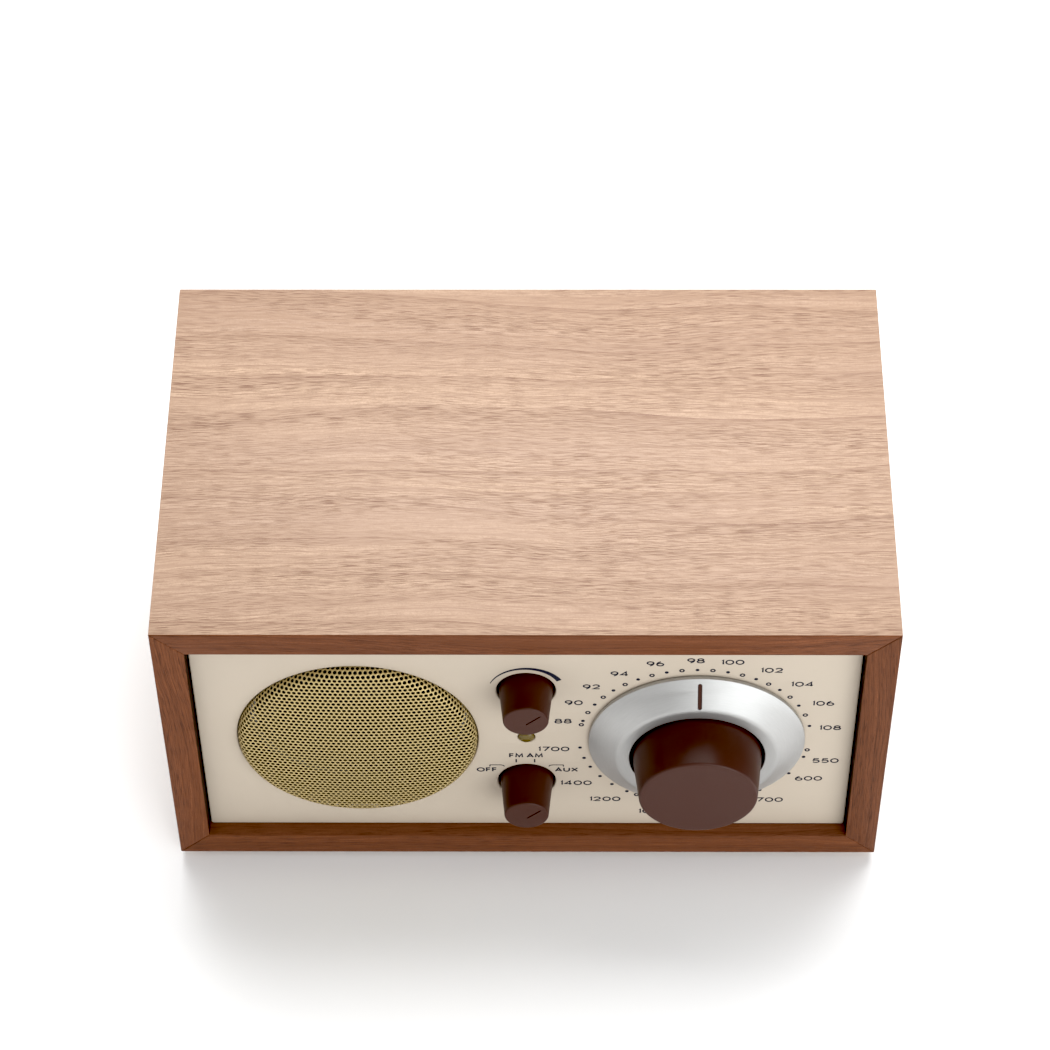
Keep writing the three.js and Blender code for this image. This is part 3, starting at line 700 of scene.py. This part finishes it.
class Printing:
    """Ink on the front panel: flat strokes, dots and rings, all in one mesh."""

    def __init__(self, y):
        self.bm = bmesh.new()
        self.y = y

    def point(self, x, z):
        return self.bm.verts.new((x, self.y, z))

    def strip(self, left, right):
        """Faces between two rows of points."""
        lefts = [self.point(*p) for p in left]
        rights = [self.point(*p) for p in right]
        for k in range(len(lefts) - 1):
            self.bm.faces.new([lefts[k], lefts[k + 1], rights[k + 1], rights[k]])

    def stroke(self, points, width):
        """A line of even width with mitred bends; one that ends where it starts closes up."""
        points = [Vector(p) for p in points]
        closed = (points[0] - points[-1]).length < 1e-7
        left, right = [], []
        last = len(points) - 1
        for k, point in enumerate(points):
            before = points[k - 1] if k else (points[last - 1] if closed else None)
            after = points[k + 1] if k < last else (points[1] if closed else None)
            incoming = (point - before).normalized() if before is not None else None
            outgoing = (after - point).normalized() if after is not None else None
            incoming, outgoing = incoming or outgoing, outgoing or incoming
            along = (incoming + outgoing).normalized()
            side = Vector((-along.y, along.x))
            stretch = 1 / max(0.45, side.dot(Vector((-incoming.y, incoming.x))))
            left.append(point + side * (width / 2 * stretch))
            right.append(point - side * (width / 2 * stretch))
        self.strip(left, right)

    def dot(self, centre, radius):
        self.bm.faces.new([self.point(x, z) for x, z in circle(centre, radius, 24)])

    def ring(self, centre, radius, width):
        loop = circle(centre, radius, 28)
        self.stroke(loop + loop[:1], width)

    def text(self, words, x, z, height, width):
        """Letters with their middle at x and z."""
        total = sum(GLYPHS[c][0] for c in words) + LETTER_GAP * (len(words) - 1)
        cursor = x - total * height / 2
        for letter in words:
            advance, strokes = GLYPHS[letter]
            for points in strokes:
                line = [(cursor + px * height, z + (pz - 0.5) * height) for px, pz in points]
                self.stroke(line, width)
            cursor += (advance + LETTER_GAP) * height


# The printed scale sits a little to the left of the dial's axis and above it.
SCALE = (DIAL[0] - 0.6 * MM, DIAL[1] + 0.22 * MM)
DOT_CIRCLE = 34.1 * MM
SOLID_DOT = 0.57 * MM
OPEN_DOT = 0.58 * MM
DIGIT_HEIGHT = 1.92 * MM
LETTER_HEIGHT = 1.75 * MM
LINE = 0.47 * MM
TICK_LINE = 0.42 * MM
BRACKET_LINE = 0.34 * MM
# Clockwise angle from the top of each megahertz mark: even up to 104 and wider after it.
FM_MARKS = {88 + k: -75.2 + 7.48 * k for k in range(17)}
FM_MARKS |= {105: 52.5, 106: 61.0, 107: 69.8, 108: 79.4}
# Clockwise angle of each hundred kilohertz mark of the AM scale, which runs round underneath.
AM_MARKS = {
    550: 106.5, 600: 122.5, 700: 143.0, 800: 159.5, 900: 175.0, 1000: 189.5, 1100: 203.0,
    1200: 214.8, 1300: 224.8, 1400: 234.2, 1500: 243.9, 1600: 252.3, 1700: 261.6,
}
END_MARKS = (-78.6, 100.2, 209.0)
# Middle of each printed number, in millimetres to the right of the dial's axis and above it.
LABELS = {
    88: (-39.4, 8.8), 90: (-36.3, 18.1), 92: (-31.2, 26.0), 94: (-23.2, 32.4),
    96: (-13.0, 37.3), 98: (-1.4, 38.8), 100: (9.2, 38.1), 102: (20.6, 34.2),
    104: (29.7, 27.4), 106: (36.3, 17.9), 108: (39.1, 5.6), 550: (38.7, -11.4),
    600: (34.2, -20.8), 700: (23.1, -32.2), 1000: (-11.6, -38.5), 1200: (-26.6, -31.9),
    1400: (-35.4, -23.3), 1700: (-42.1, -5.5),
}
# The volume wedge: its angles in degrees, and its inner and outer radius at both ends, in mm.
WEDGE_START, WEDGE_SWEEP, WEDGE_STEPS = -70, 132, 40
WEDGE_THIN, WEDGE_THICK = (10.85, 11.1), (10.1, 11.7)
# Right half of the bracket that joins two of the selector's positions, in mm from its axis.
BRACKET = [(6.6, 7.6), (7.0, 8.1), (7.7, 8.35), (10.9, 8.35), (11.0, 7.5)]


def dial_scale(ink):
    def mark(degrees):
        return around(SCALE, DOT_CIRCLE, math.radians(degrees))

    for megahertz, angle in FM_MARKS.items():
        if megahertz % 2:
            ink.ring(mark(angle), OPEN_DOT, LINE)
        else:
            ink.dot(mark(angle), SOLID_DOT)
    for angle in END_MARKS:
        ink.ring(mark(angle), OPEN_DOT, LINE)
    for angle in AM_MARKS.values():
        ink.dot(mark(angle), SOLID_DOT)
    for number, (x, z) in LABELS.items():
        ink.text(str(number), DIAL[0] + x * MM, DIAL[1] + z * MM, DIGIT_HEIGHT, LINE)


def control_printing(ink):
    """The volume wedge and the selector's positions."""
    edges = []
    for thin, thick in zip(WEDGE_THIN, WEDGE_THICK):
        edge = []
        for k in range(WEDGE_STEPS + 1):
            share = k / WEDGE_STEPS
            angle = math.radians(WEDGE_START + WEDGE_SWEEP * share)
            edge.append(around(VOLUME, (thin + (thick - thin) * share) * MM, angle))
        edges.append(edge)
    ink.strip(*edges)
    x, z = SELECTOR
    for words, offset in (("FM", -3.1), ("AM", 2.4)):
        tick_x = x + offset * MM
        ink.text(words, tick_x, z + 13.3 * MM, LETTER_HEIGHT, LINE)
        ink.stroke([(tick_x, z + 11.4 * MM), (tick_x, z + 9.7 * MM)], TICK_LINE)
    for side, words in ((-1, "OFF"), (1, "AUX")):
        ink.text(words, x + side * 11.9 * MM, z + 5.9 * MM, LETTER_HEIGHT, LINE)
        ink.stroke([(x + side * dx * MM, z + dz * MM) for dx, dz in BRACKET], BRACKET_LINE)


def printing():
    """All the ink, from a hair above the lacquer to a hair below its surface."""
    ink = Printing(PANEL_FRONT - 0.02 * MM)
    dial_scale(ink)
    control_printing(ink)
    depth = bmesh.ops.extrude_face_region(ink.bm, geom=list(ink.bm.faces))
    verts = [v for v in depth["geom"] if isinstance(v, bmesh.types.BMVert)]
    bmesh.ops.translate(ink.bm, verts=verts, vec=(0, 0.05 * MM, 0))
    finish_mesh("panel_printing", ink.bm, [INK], "cabinet")


def lamp():
    """A domed lens that stands a little proud of the panel."""
    node = "indicator_lamp_lens"
    radius, rear_y = half_width(node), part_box(node)[1].y
    base, height = PANEL_FRONT + 0.25 * MM, 1.15 * MM
    angles = [math.radians(a) for a in range(0, 91, 9)]
    profile = [(radius * math.sin(a), base - height * math.cos(a)) for a in angles]
    profile += [(radius, rear_y), (0, rear_y)]
    turned("lamp_lens", node, profile, axis_through(node), AMBER, 48)


# ---------------------------------------------------------------- speaker grille
HOLE_PITCH, ROW_PITCH = 1.50 * MM, 1.41 * MM
HOLE_RADIUS = 0.58 * MM
SHEET = 0.3 * MM
RIM_INSET, RIM_RISE, SKIRT = 2.5 * MM, 2.5 * MM, 2.4 * MM
DOME = 2.8 * MM
DOME_STEPS, RIM_STEPS = 60, 18


def grille_profile(radius):
    """(distance along the sheet, radius, y) from the dome's middle over the rim to the skirt."""
    crown = radius - RIM_INSET

    def crowned(r):
        return PANEL_FRONT - RIM_RISE - DOME * (1 - (r / radius) ** 2)

    spots = [crown * k / DOME_STEPS for k in range(DOME_STEPS + 1)]
    points = [(r, crowned(r)) for r in spots]
    for k in range(1, RIM_STEPS + 1):
        angle = QUARTER * k / RIM_STEPS
        r = crown + RIM_INSET * math.sin(angle)
        points.append((r, crowned(r) + (RIM_RISE + 0.2 * MM) * (1 - math.cos(angle))))
    points.append((radius, PANEL_FRONT + SKIRT))
    rows, length = [(0.0, *points[0])], 0.0
    for (r0, y0), (r1, y1) in zip(points, points[1:]):
        length += math.hypot(r1 - r0, y1 - y0)
        rows.append((length, r1, y1))
    return rows


def speaker_grille():
    """A staggered pattern of round holes, laid out flat and wrapped over the dome and rim."""
    centre = axis_through("speaker_grille")
    rows = grille_profile(half_width("speaker_grille"))
    lengths = [row[0] for row in rows]
    reach = lengths[-1]

    def wrap(u, v):
        length = min(math.hypot(u, v), reach)
        k = min(max(bisect.bisect_right(lengths, length) - 1, 0), len(rows) - 2)
        (l0, r0, y0), (l1, r1, y1) = rows[k], rows[k + 1]
        t = (length - l0) / (l1 - l0)
        x, z = around(centre, r0 + (r1 - r0) * t, math.atan2(u, v))
        return x, y0 + (y1 - y0) * t, z

    # Each hole's cell is the hexagon of points nearer to it than to any other hole.
    a, b = HOLE_PITCH, ROW_PITCH
    top = (a * a / 4 + b * b) / (2 * b)
    side = (b * b - a * a / 4) / (2 * b)
    corners = [(0, top), (a / 2, side), (a / 2, -side), (0, -top), (-a / 2, -side), (-a / 2, side)]
    outline = []
    for here, after in zip(corners, corners[1:] + corners[:1]):
        outline += [here, ((here[0] + after[0]) / 2, (here[1] + after[1]) / 2)]
    bm = bmesh.new()
    shared = {}

    def lattice(u, v):
        key = (round(u * 1e7), round(v * 1e7))
        if key not in shared:
            shared[key] = bm.verts.new(wrap(u, v))
        return shared[key]

    count = int(reach / b) + 2
    for row in range(-count, count + 1):
        for column in range(-count, count + 1):
            u, v = (column + (row % 2) / 2) * a, row * b
            if math.hypot(u, v) > reach + a / 3:
                continue
            rim = [lattice(u + du, v + dv) for du, dv in outline]
            hole = []
            for du, dv in outline:
                scale = HOLE_RADIUS / math.hypot(du, dv)
                hole.append(bm.verts.new(wrap(u + du * scale, v + dv * scale)))
            for k in range(len(outline)):
                bm.faces.new([rim[k - 1], rim[k], hole[k], hole[k - 1]])
    materials = [GILT, GILT_IN_PAINTED_SHADE]
    grille = finish_mesh(
        "perforated_grille", bm, materials, "cabinet", ["speaker_grille"], sharp=math.pi,
    )
    solid = grille.modifiers.new("sheet", "SOLIDIFY")
    solid.thickness = SHEET
    solid.offset = -1
    # The hole walls take the darker gilt: painted shade.
    solid.material_offset_rim = 1


# ---------------------------------------------------------------- knobs and dial
SHAFT_BORE = 3.05 * MM
SMALL_TIP, SMALL_FOOT, SMALL_BORE_DEPTH = 6.55 * MM, 8.1 * MM, 4 * MM
MARK_ANGLE = math.radians(45)
MARK_LENGTH, MARK_WIDTH = 5.9 * MM, 0.42 * MM
LARGE_TIP, LARGE_FOOT, LARGE_BORE_DEPTH = 17.3 * MM, 18.95 * MM, 8.1 * MM
FACE_CROWN = 0.25 * MM
RING_OUTER, RING_SHOULDER, RING_INNER = 31.85 * MM, 23.6 * MM, 19.9 * MM
POINTER_RADIUS = 27.25 * MM


def small_knob(name, node, axis, body):
    """A tapered knob with a mark cut into its face."""
    low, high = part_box(node)
    front, rear_y, floor = low.y, high.y, low.y + SMALL_BORE_DEPTH
    profile = [(0, front), (SMALL_TIP, front), (SMALL_FOOT, rear_y), (SHAFT_BORE, rear_y)]
    profile += [(SHAFT_BORE, floor), (0, floor)]
    profile = rounded(profile, {1: 0.6 * MM, 2: 0.3 * MM}, steps=7)
    knob = turned(name, node, profile, axis, BROWN, 128, body)
    place = move(axis[0], front, axis[1]) @ rotate(MARK_ANGLE - QUARTER, "Y")
    place = place @ move(2.1 * MM, 0, -1.0 * MM) @ rotate(QUARTER, "X")
    combine(knob, bar_mesh(MARK_LENGTH, MARK_WIDTH, 0.8 * MM, place))


def tuning_knob():
    """Straight behind the dial ring's face, tapered in front of it, with a slightly domed face."""
    low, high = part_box("tuning_knob")
    front, rear_y, floor = low.y, high.y, low.y + LARGE_BORE_DEPTH
    taper_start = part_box("dial_ring")[0].y
    face = [(LARGE_TIP * k / 8, front + FACE_CROWN * (k / 8) ** 2) for k in range(8)]
    side = [(LARGE_TIP * 0.95, front + FACE_CROWN * 0.9), (LARGE_TIP, front + FACE_CROWN)]
    side += [(LARGE_FOOT, taper_start), (LARGE_FOOT, rear_y)]
    profile = face + rounded(side, {1: 0.8 * MM, 2: 6 * MM}, steps=8)[1:]
    profile += [(SHAFT_BORE, rear_y), (SHAFT_BORE, floor), (0, floor)]
    turned("dial_knob", "tuning_knob", profile, DIAL, BROWN, 192, "tuning_control")


def dial_ring():
    """A conical ring with a flat land inside, hollow behind, and two pointers let into it."""
    low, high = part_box("dial_ring")
    face, rim, rear_y = low.y, high.y - 1.1 * MM, low.y + 3.85 * MM
    profile = [(RING_INNER, rear_y - 1 * MM), (RING_INNER, face), (RING_SHOULDER, face)]
    profile += [(RING_OUTER, rim), (RING_OUTER, high.y), (29.3 * MM, high.y)]
    profile += [(24 * MM, rear_y), (RING_INNER, rear_y)]
    corners = {1: 0.3 * MM, 2: 3.2 * MM, 3: 0.28 * MM, 4: 0.15 * MM}
    profile = rounded(profile, corners, steps=8)
    ring = turned("spun_ring", "dial_ring", profile, DIAL, SPUN, 256, "dial", closed=True)
    slope = math.atan2(rim - face, RING_OUTER - RING_SHOULDER)
    surface = face + (POINTER_RADIUS - RING_SHOULDER) * math.tan(slope)
    pointers = (("upper_pointer", "dial_pointer_fm", 0), ("lower_pointer", "dial_pointer_am", 1))
    for name, node, half_turns in pointers:
        place = move(DIAL[0], 0, DIAL[1]) @ rotate(math.pi * half_turns, "Y")
        place = place @ move(0, surface, POINTER_RADIUS) @ rotate(-slope, "X")
        place = place @ rotate(QUARTER, "X") @ rotate(QUARTER, "Z")
        combine(ring, bar_mesh(8.1 * MM, 1.3 * MM, 1.3 * MM, place))
        inlay = bar_mesh(7.9 * MM, 1.1 * MM, 0.6 * MM, place @ move(0, 0, -0.45 * MM))
        finish_mesh(name, inlay, [BROWN], "dial", [node])


# ---------------------------------------------------------------- rear panel and what stands in it
ROUND_SOCKETS = ("dc_power_jack", "headphone_jack", "aux_input_jack", "fm_antenna_socket")
REAR_SCREWS = [f"rear_screw_{k}" for k in (1, 2, 3, 4)]
BUTTON_RADIUS = 3.0 * MM
SOCKET_GAP = 0.3 * MM
JACK_DEPTH = 6 * MM
SCREW_HEAD, SCREW_SHANK, SCREW_HOLE = 3.0 * MM, 1.5 * MM, 1.9 * MM
THREAD_PITCH, THREAD_DEPTH = 0.8 * MM, 0.32 * MM
INLET_GAP, INLET_DEPTH = 0.2 * MM, 9 * MM


def rear_panel():
    holes = []
    for node in ROUND_SOCKETS:
        holes.append(circle(axis_through(node), half_width(node) + SOCKET_GAP, 64))
    holes.append(circle(axis_through("pairing_button"), BUTTON_RADIUS + SOCKET_GAP, 64))
    for node in REAR_SCREWS:
        holes.append(circle(axis_through(node), SCREW_HOLE, 40))
    low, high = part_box("ac_inlet")
    gap = INLET_GAP
    holes.append(rectangle(low.x - gap, high.x + gap, low.z - gap, high.z + gap, 0.8 * MM))
    x, z = axis_through("antenna_switch_body")
    reach, height = 5.0 * MM, 2.2 * MM
    holes.append(rectangle(x - reach, x + reach, z - height, z + height, 0.3 * MM))
    plate("back_plate", "rear_panel", holes, 0.25 * MM, BLACK_PLATE)


def round_jack(node, bore, pin=None):
    """A barrel with a rolled lip round its bore; the power jack has a pin in the middle."""
    low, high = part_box(node)
    radius, floor = half_width(node), REAR_INSIDE - JACK_DEPTH
    profile = [(0, low.y), (radius, low.y), (radius, high.y), (bore, high.y), (bore, floor)]
    corners = {2: 0.4 * MM, 3: 0.35 * MM}
    if pin:
        profile += [(pin, floor), (pin, high.y - 1 * MM), (0, high.y - 1 * MM)]
        corners[6] = 0.5 * MM
    else:
        profile += [(0, floor)]
    profile = rounded(profile, corners)
    turned(node + "_barrel", node, profile, axis_through(node), BLACK, 72)


def aerial_connector():
    """A threaded barrel with the hole of its centre contact."""
    node = "fm_antenna_socket"
    low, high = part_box(node)
    radius, root, hole = half_width(node), half_width(node) - THREAD_DEPTH, 0.8 * MM
    y, tip = REAR_FACE + 0.4 * MM, high.y
    profile = [(0, low.y), (radius, low.y), (radius, y)]
    while y + THREAD_PITCH < tip - 0.5 * MM:
        profile += [(root, y + THREAD_PITCH * 0.35), (root, y + THREAD_PITCH * 0.5)]
        profile += [(radius, y + THREAD_PITCH * 0.85)]
        y += THREAD_PITCH
    profile += [(radius - 0.4 * MM, tip - 0.1 * MM), (radius - 0.7 * MM, tip)]
    profile += [(hole + 1.5 * MM, tip), (hole + 1.2 * MM, tip - 0.3 * MM)]
    profile += [(hole + 0.2 * MM, tip - 0.3 * MM), (hole, tip - 0.5 * MM)]
    profile += [(hole, REAR_FACE), (0, REAR_FACE)]
    turned("aerial_barrel", node, profile, axis_through(node), NICKEL, 72)


def push_button():
    """A flange behind the panel and a dished cap through it."""
    node = "pairing_button"
    low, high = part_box(node)
    flange, shoulder = half_width(node), REAR_INSIDE - 0.3 * MM
    profile = [(0, low.y), (flange, low.y), (flange, shoulder), (BUTTON_RADIUS, shoulder)]
    profile += [(BUTTON_RADIUS, high.y), (1.6 * MM, high.y), (0, high.y - 0.35 * MM)]
    profile = rounded(profile, {4: 0.45 * MM, 5: 1.5 * MM})
    turned("button_cap", node, profile, axis_through(node), BLACK, 72, "button")


def cross_head_screw(node):
    low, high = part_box(node)
    x, z = axis_through(node)
    seat = REAR_FACE + 0.1 * MM
    angles = [math.radians(a) for a in range(15, 91, 15)]
    profile = [(0, low.y), (SCREW_SHANK, low.y + 2 * MM), (SCREW_SHANK, seat), (SCREW_HEAD, seat)]
    profile += [(SCREW_HEAD * math.cos(a), seat + (high.y - seat) * math.sin(a)) for a in angles]
    screw = turned(node + "_head", node, profile, (x, z), STEEL, 48)
    for turn in (0, QUARTER):
        place = move(x, high.y, z) @ rotate(turn + 0.4 * z / MM, "Y") @ rotate(QUARTER, "X")
        combine(screw, bar_mesh(3.2 * MM, 0.7 * MM, 2.0 * MM, place))


def switch_slider():
    """A plate behind the panel and a grip with four grooves across its face."""
    node = "antenna_switch_slider"
    low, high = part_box(node)
    x, z = axis_through(node)
    half_x, half_z, step = 1.8 * MM, 1.9 * MM, REAR_INSIDE - 0.5 * MM
    base = block_mesh(low, Vector((high.x, step, high.z)), 0.1 * MM)
    slider = finish_mesh("slider_grip", base, [BLACK], "antenna_slider", [node])
    grip_low = Vector((x - half_x, step - 0.4 * MM, z - half_z))
    grip_high = Vector((x + half_x, high.y, z + half_z))
    combine(slider, block_mesh(grip_low, grip_high, 0.2 * MM), "UNION")
    for k in range(4):
        place = move(x + (k - 1.5) * 0.8 * MM, high.y, z)
        place = place @ rotate(QUARTER, "Y") @ rotate(QUARTER, "X")
        combine(slider, bar_mesh(6 * MM, 0.34 * MM, 0.8 * MM, place))


def mains_inlet():
    """A body with rounded corners, a hollow with round ends, and two round-tipped pins."""
    low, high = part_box("ac_inlet")
    x, z = axis_through("ac_inlet")
    block = block_mesh(low, high, 0.5 * MM)
    body = finish_mesh("inlet_body", block, [BLACK], "cabinet", ["ac_inlet"])
    half_x, half_z = 7.8 * MM, 4 * MM
    outline = rectangle(x - half_x, x + half_x, z - half_z, z + half_z, 3.2 * MM, steps=10)
    depths = (high.y + 1 * MM, high.y - INLET_DEPTH)
    combine(body, prism(*([(px, y, pz) for px, pz in outline] for y in depths)))
    for node in ("ac_inlet_pin_left", "ac_inlet_pin_right"):
        pin_low, pin_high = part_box(node)
        radius = half_width(node)
        profile = [(0, pin_low.y), (radius, pin_low.y), (radius, pin_high.y), (0, pin_high.y)]
        profile = rounded(profile, {2: radius * 0.8})
        turned(node + "_tip", node, profile, axis_through(node), NICKEL, 40)


def rear():
    rear_panel()
    round_jack("dc_power_jack", 2.75 * MM, 1.0 * MM)
    round_jack("headphone_jack", 1.8 * MM)
    round_jack("aux_input_jack", 1.8 * MM)
    aerial_connector()
    push_button()
    for node in REAR_SCREWS:
        cross_head_screw(node)
    switch_slider()
    mains_inlet()


# ---------------------------------------------------------------- what stays as the frame has it
KEPT_NODES = [
    (STEEL, ["speaker_basket", "control_bracket", "volume_potentiometer", "volume_shaft"]),
    (STEEL, ["selector_shaft", "tuning_shaft", "tuning_capacitor_frame", "transformer_core"]),
    (STEEL, ["amplifier_heat_sink", "antenna_switch_body"]),
    (NICKEL, ["volume_nut", "selector_nut", "tuning_capacitor_stator", "tuning_capacitor_rotor"]),
    (BRASS, ["drive_ball_cage", "tuning_drive_housing"]),
    (COPPER, ["voice_coil", "transformer_winding", "antenna_coil"]),
    (FERRITE, ["speaker_magnet", "ferrite_antenna_rod"]),
    (BLACK, ["selector_switch", "dial_hub"]),
    (BOARD, ["tuner_board", "main_board"]),
    (BLACK_WOOD, ["baffle_board"]),
    (RUBBER, ["speaker_surround"]),
    (PAPER, ["speaker_cone"]),
]


def dress_frame():
    for material, nodes in KEPT_NODES:
        for node in nodes:
            mesh = frame["nodes"][node].data
            mesh.materials.clear()
            mesh.materials.append(material)


# ---------------------------------------------------------------- studio
CAMERA_YAW, CAMERA_DOWN, CAMERA_ROLL = (math.radians(a) for a in (-0.788, 51.57, -0.578))
CAMERA_PLACE = (0.00822, FRONT_Y - 0.5767, CABINET_Z[0] + 0.8885)
CAMERA_LENS, CAMERA_SENSOR = 117.8, 36.0
FLOOR_SPAN = 6.0
WORLD_STRENGTH = 0.58
BLACK_LEVEL = 0.02


def camera():
    """Looks down on the radio from in front, a long lens at about a metre."""
    yaw, down, roll = CAMERA_YAW, CAMERA_DOWN, CAMERA_ROLL
    ahead = Vector((math.sin(yaw), math.cos(yaw), 0)) * math.cos(down)
    ahead.z = -math.sin(down)
    level = Vector((math.cos(yaw), -math.sin(yaw), 0))
    above = level.cross(ahead)
    right = math.cos(roll) * level + math.sin(roll) * above
    up = -math.sin(roll) * level + math.cos(roll) * above
    lens = bpy.data.cameras.new("camera")
    lens.lens = CAMERA_LENS
    lens.sensor_width = CAMERA_SENSOR
    lens.clip_start = 0.05
    viewer = in_scene("camera", lens)
    viewer.matrix_world = Matrix((right, up, -ahead)).transposed().to_4x4()
    viewer.location = Vector(CAMERA_PLACE)
    bpy.context.scene.camera = viewer


def softbox(name, location, target, size, power, colour=(1, 1, 1)):
    light = bpy.data.lights.new(name, "AREA")
    light.shape = "RECTANGLE"
    light.size, light.size_y = size
    light.energy = power
    light.color = colour
    box = in_scene(name, light)
    box.location = location
    aim = Vector(target) - Vector(location)
    box.rotation_euler = aim.to_track_quat("-Z", "Y").to_euler()


def studio():
    span = FLOOR_SPAN
    corners = [(-span, -span, 0), (span, -span, 0), (span, span, 0), (-span, span, 0)]
    floor_mesh = bpy.data.meshes.new("floor")
    floor_mesh.from_pydata(corners, [], [(0, 1, 2, 3)])
    floor_mesh.materials.append(
        moulded("white_floor", (0.96, 0.96, 0.96), roughness=0.7, vary=0.005)
    )
    in_scene("floor", floor_mesh)

    world = bpy.data.worlds.new("studio")
    bpy.context.scene.world = world
    world.use_nodes = True
    background = world.node_tree.nodes["Background"]
    background.inputs["Color"].default_value = (1, 1, 1, 1)
    background.inputs["Strength"].default_value = WORLD_STRENGTH
    softbox("overhead", (0.10, 0.75, 1.35), (0, 0.05, 0), (1.5, 1.0), 30.0)
    softbox("front_right", (0.58, -0.78, 0.32), (0, 0, 0.05), (0.8, 0.6), 5.2, (0.94, 0.98, 1.0))
    softbox("front_top", (0.25, -1.05, 0.95), (0, 0, 0.05), (0.6, 0.25), 2.0)
    view = bpy.context.scene.view_settings
    view.view_transform = "Standard"
    view.look = "None"
    view.use_curve_mapping = True
    view.curve_mapping.black_level = (BLACK_LEVEL, BLACK_LEVEL, BLACK_LEVEL)
    view.curve_mapping.update()


camera()
studio()
cabinet()
feet()
bass_port()
front_panel()
printing()
lamp()
speaker_grille()
small_knob("volume_cap", "volume_knob", VOLUME, "volume_control")
small_knob("selector_cap", "selector_knob", SELECTOR, "selector_control")
tuning_knob()
dial_ring()
rear()
dress_frame()
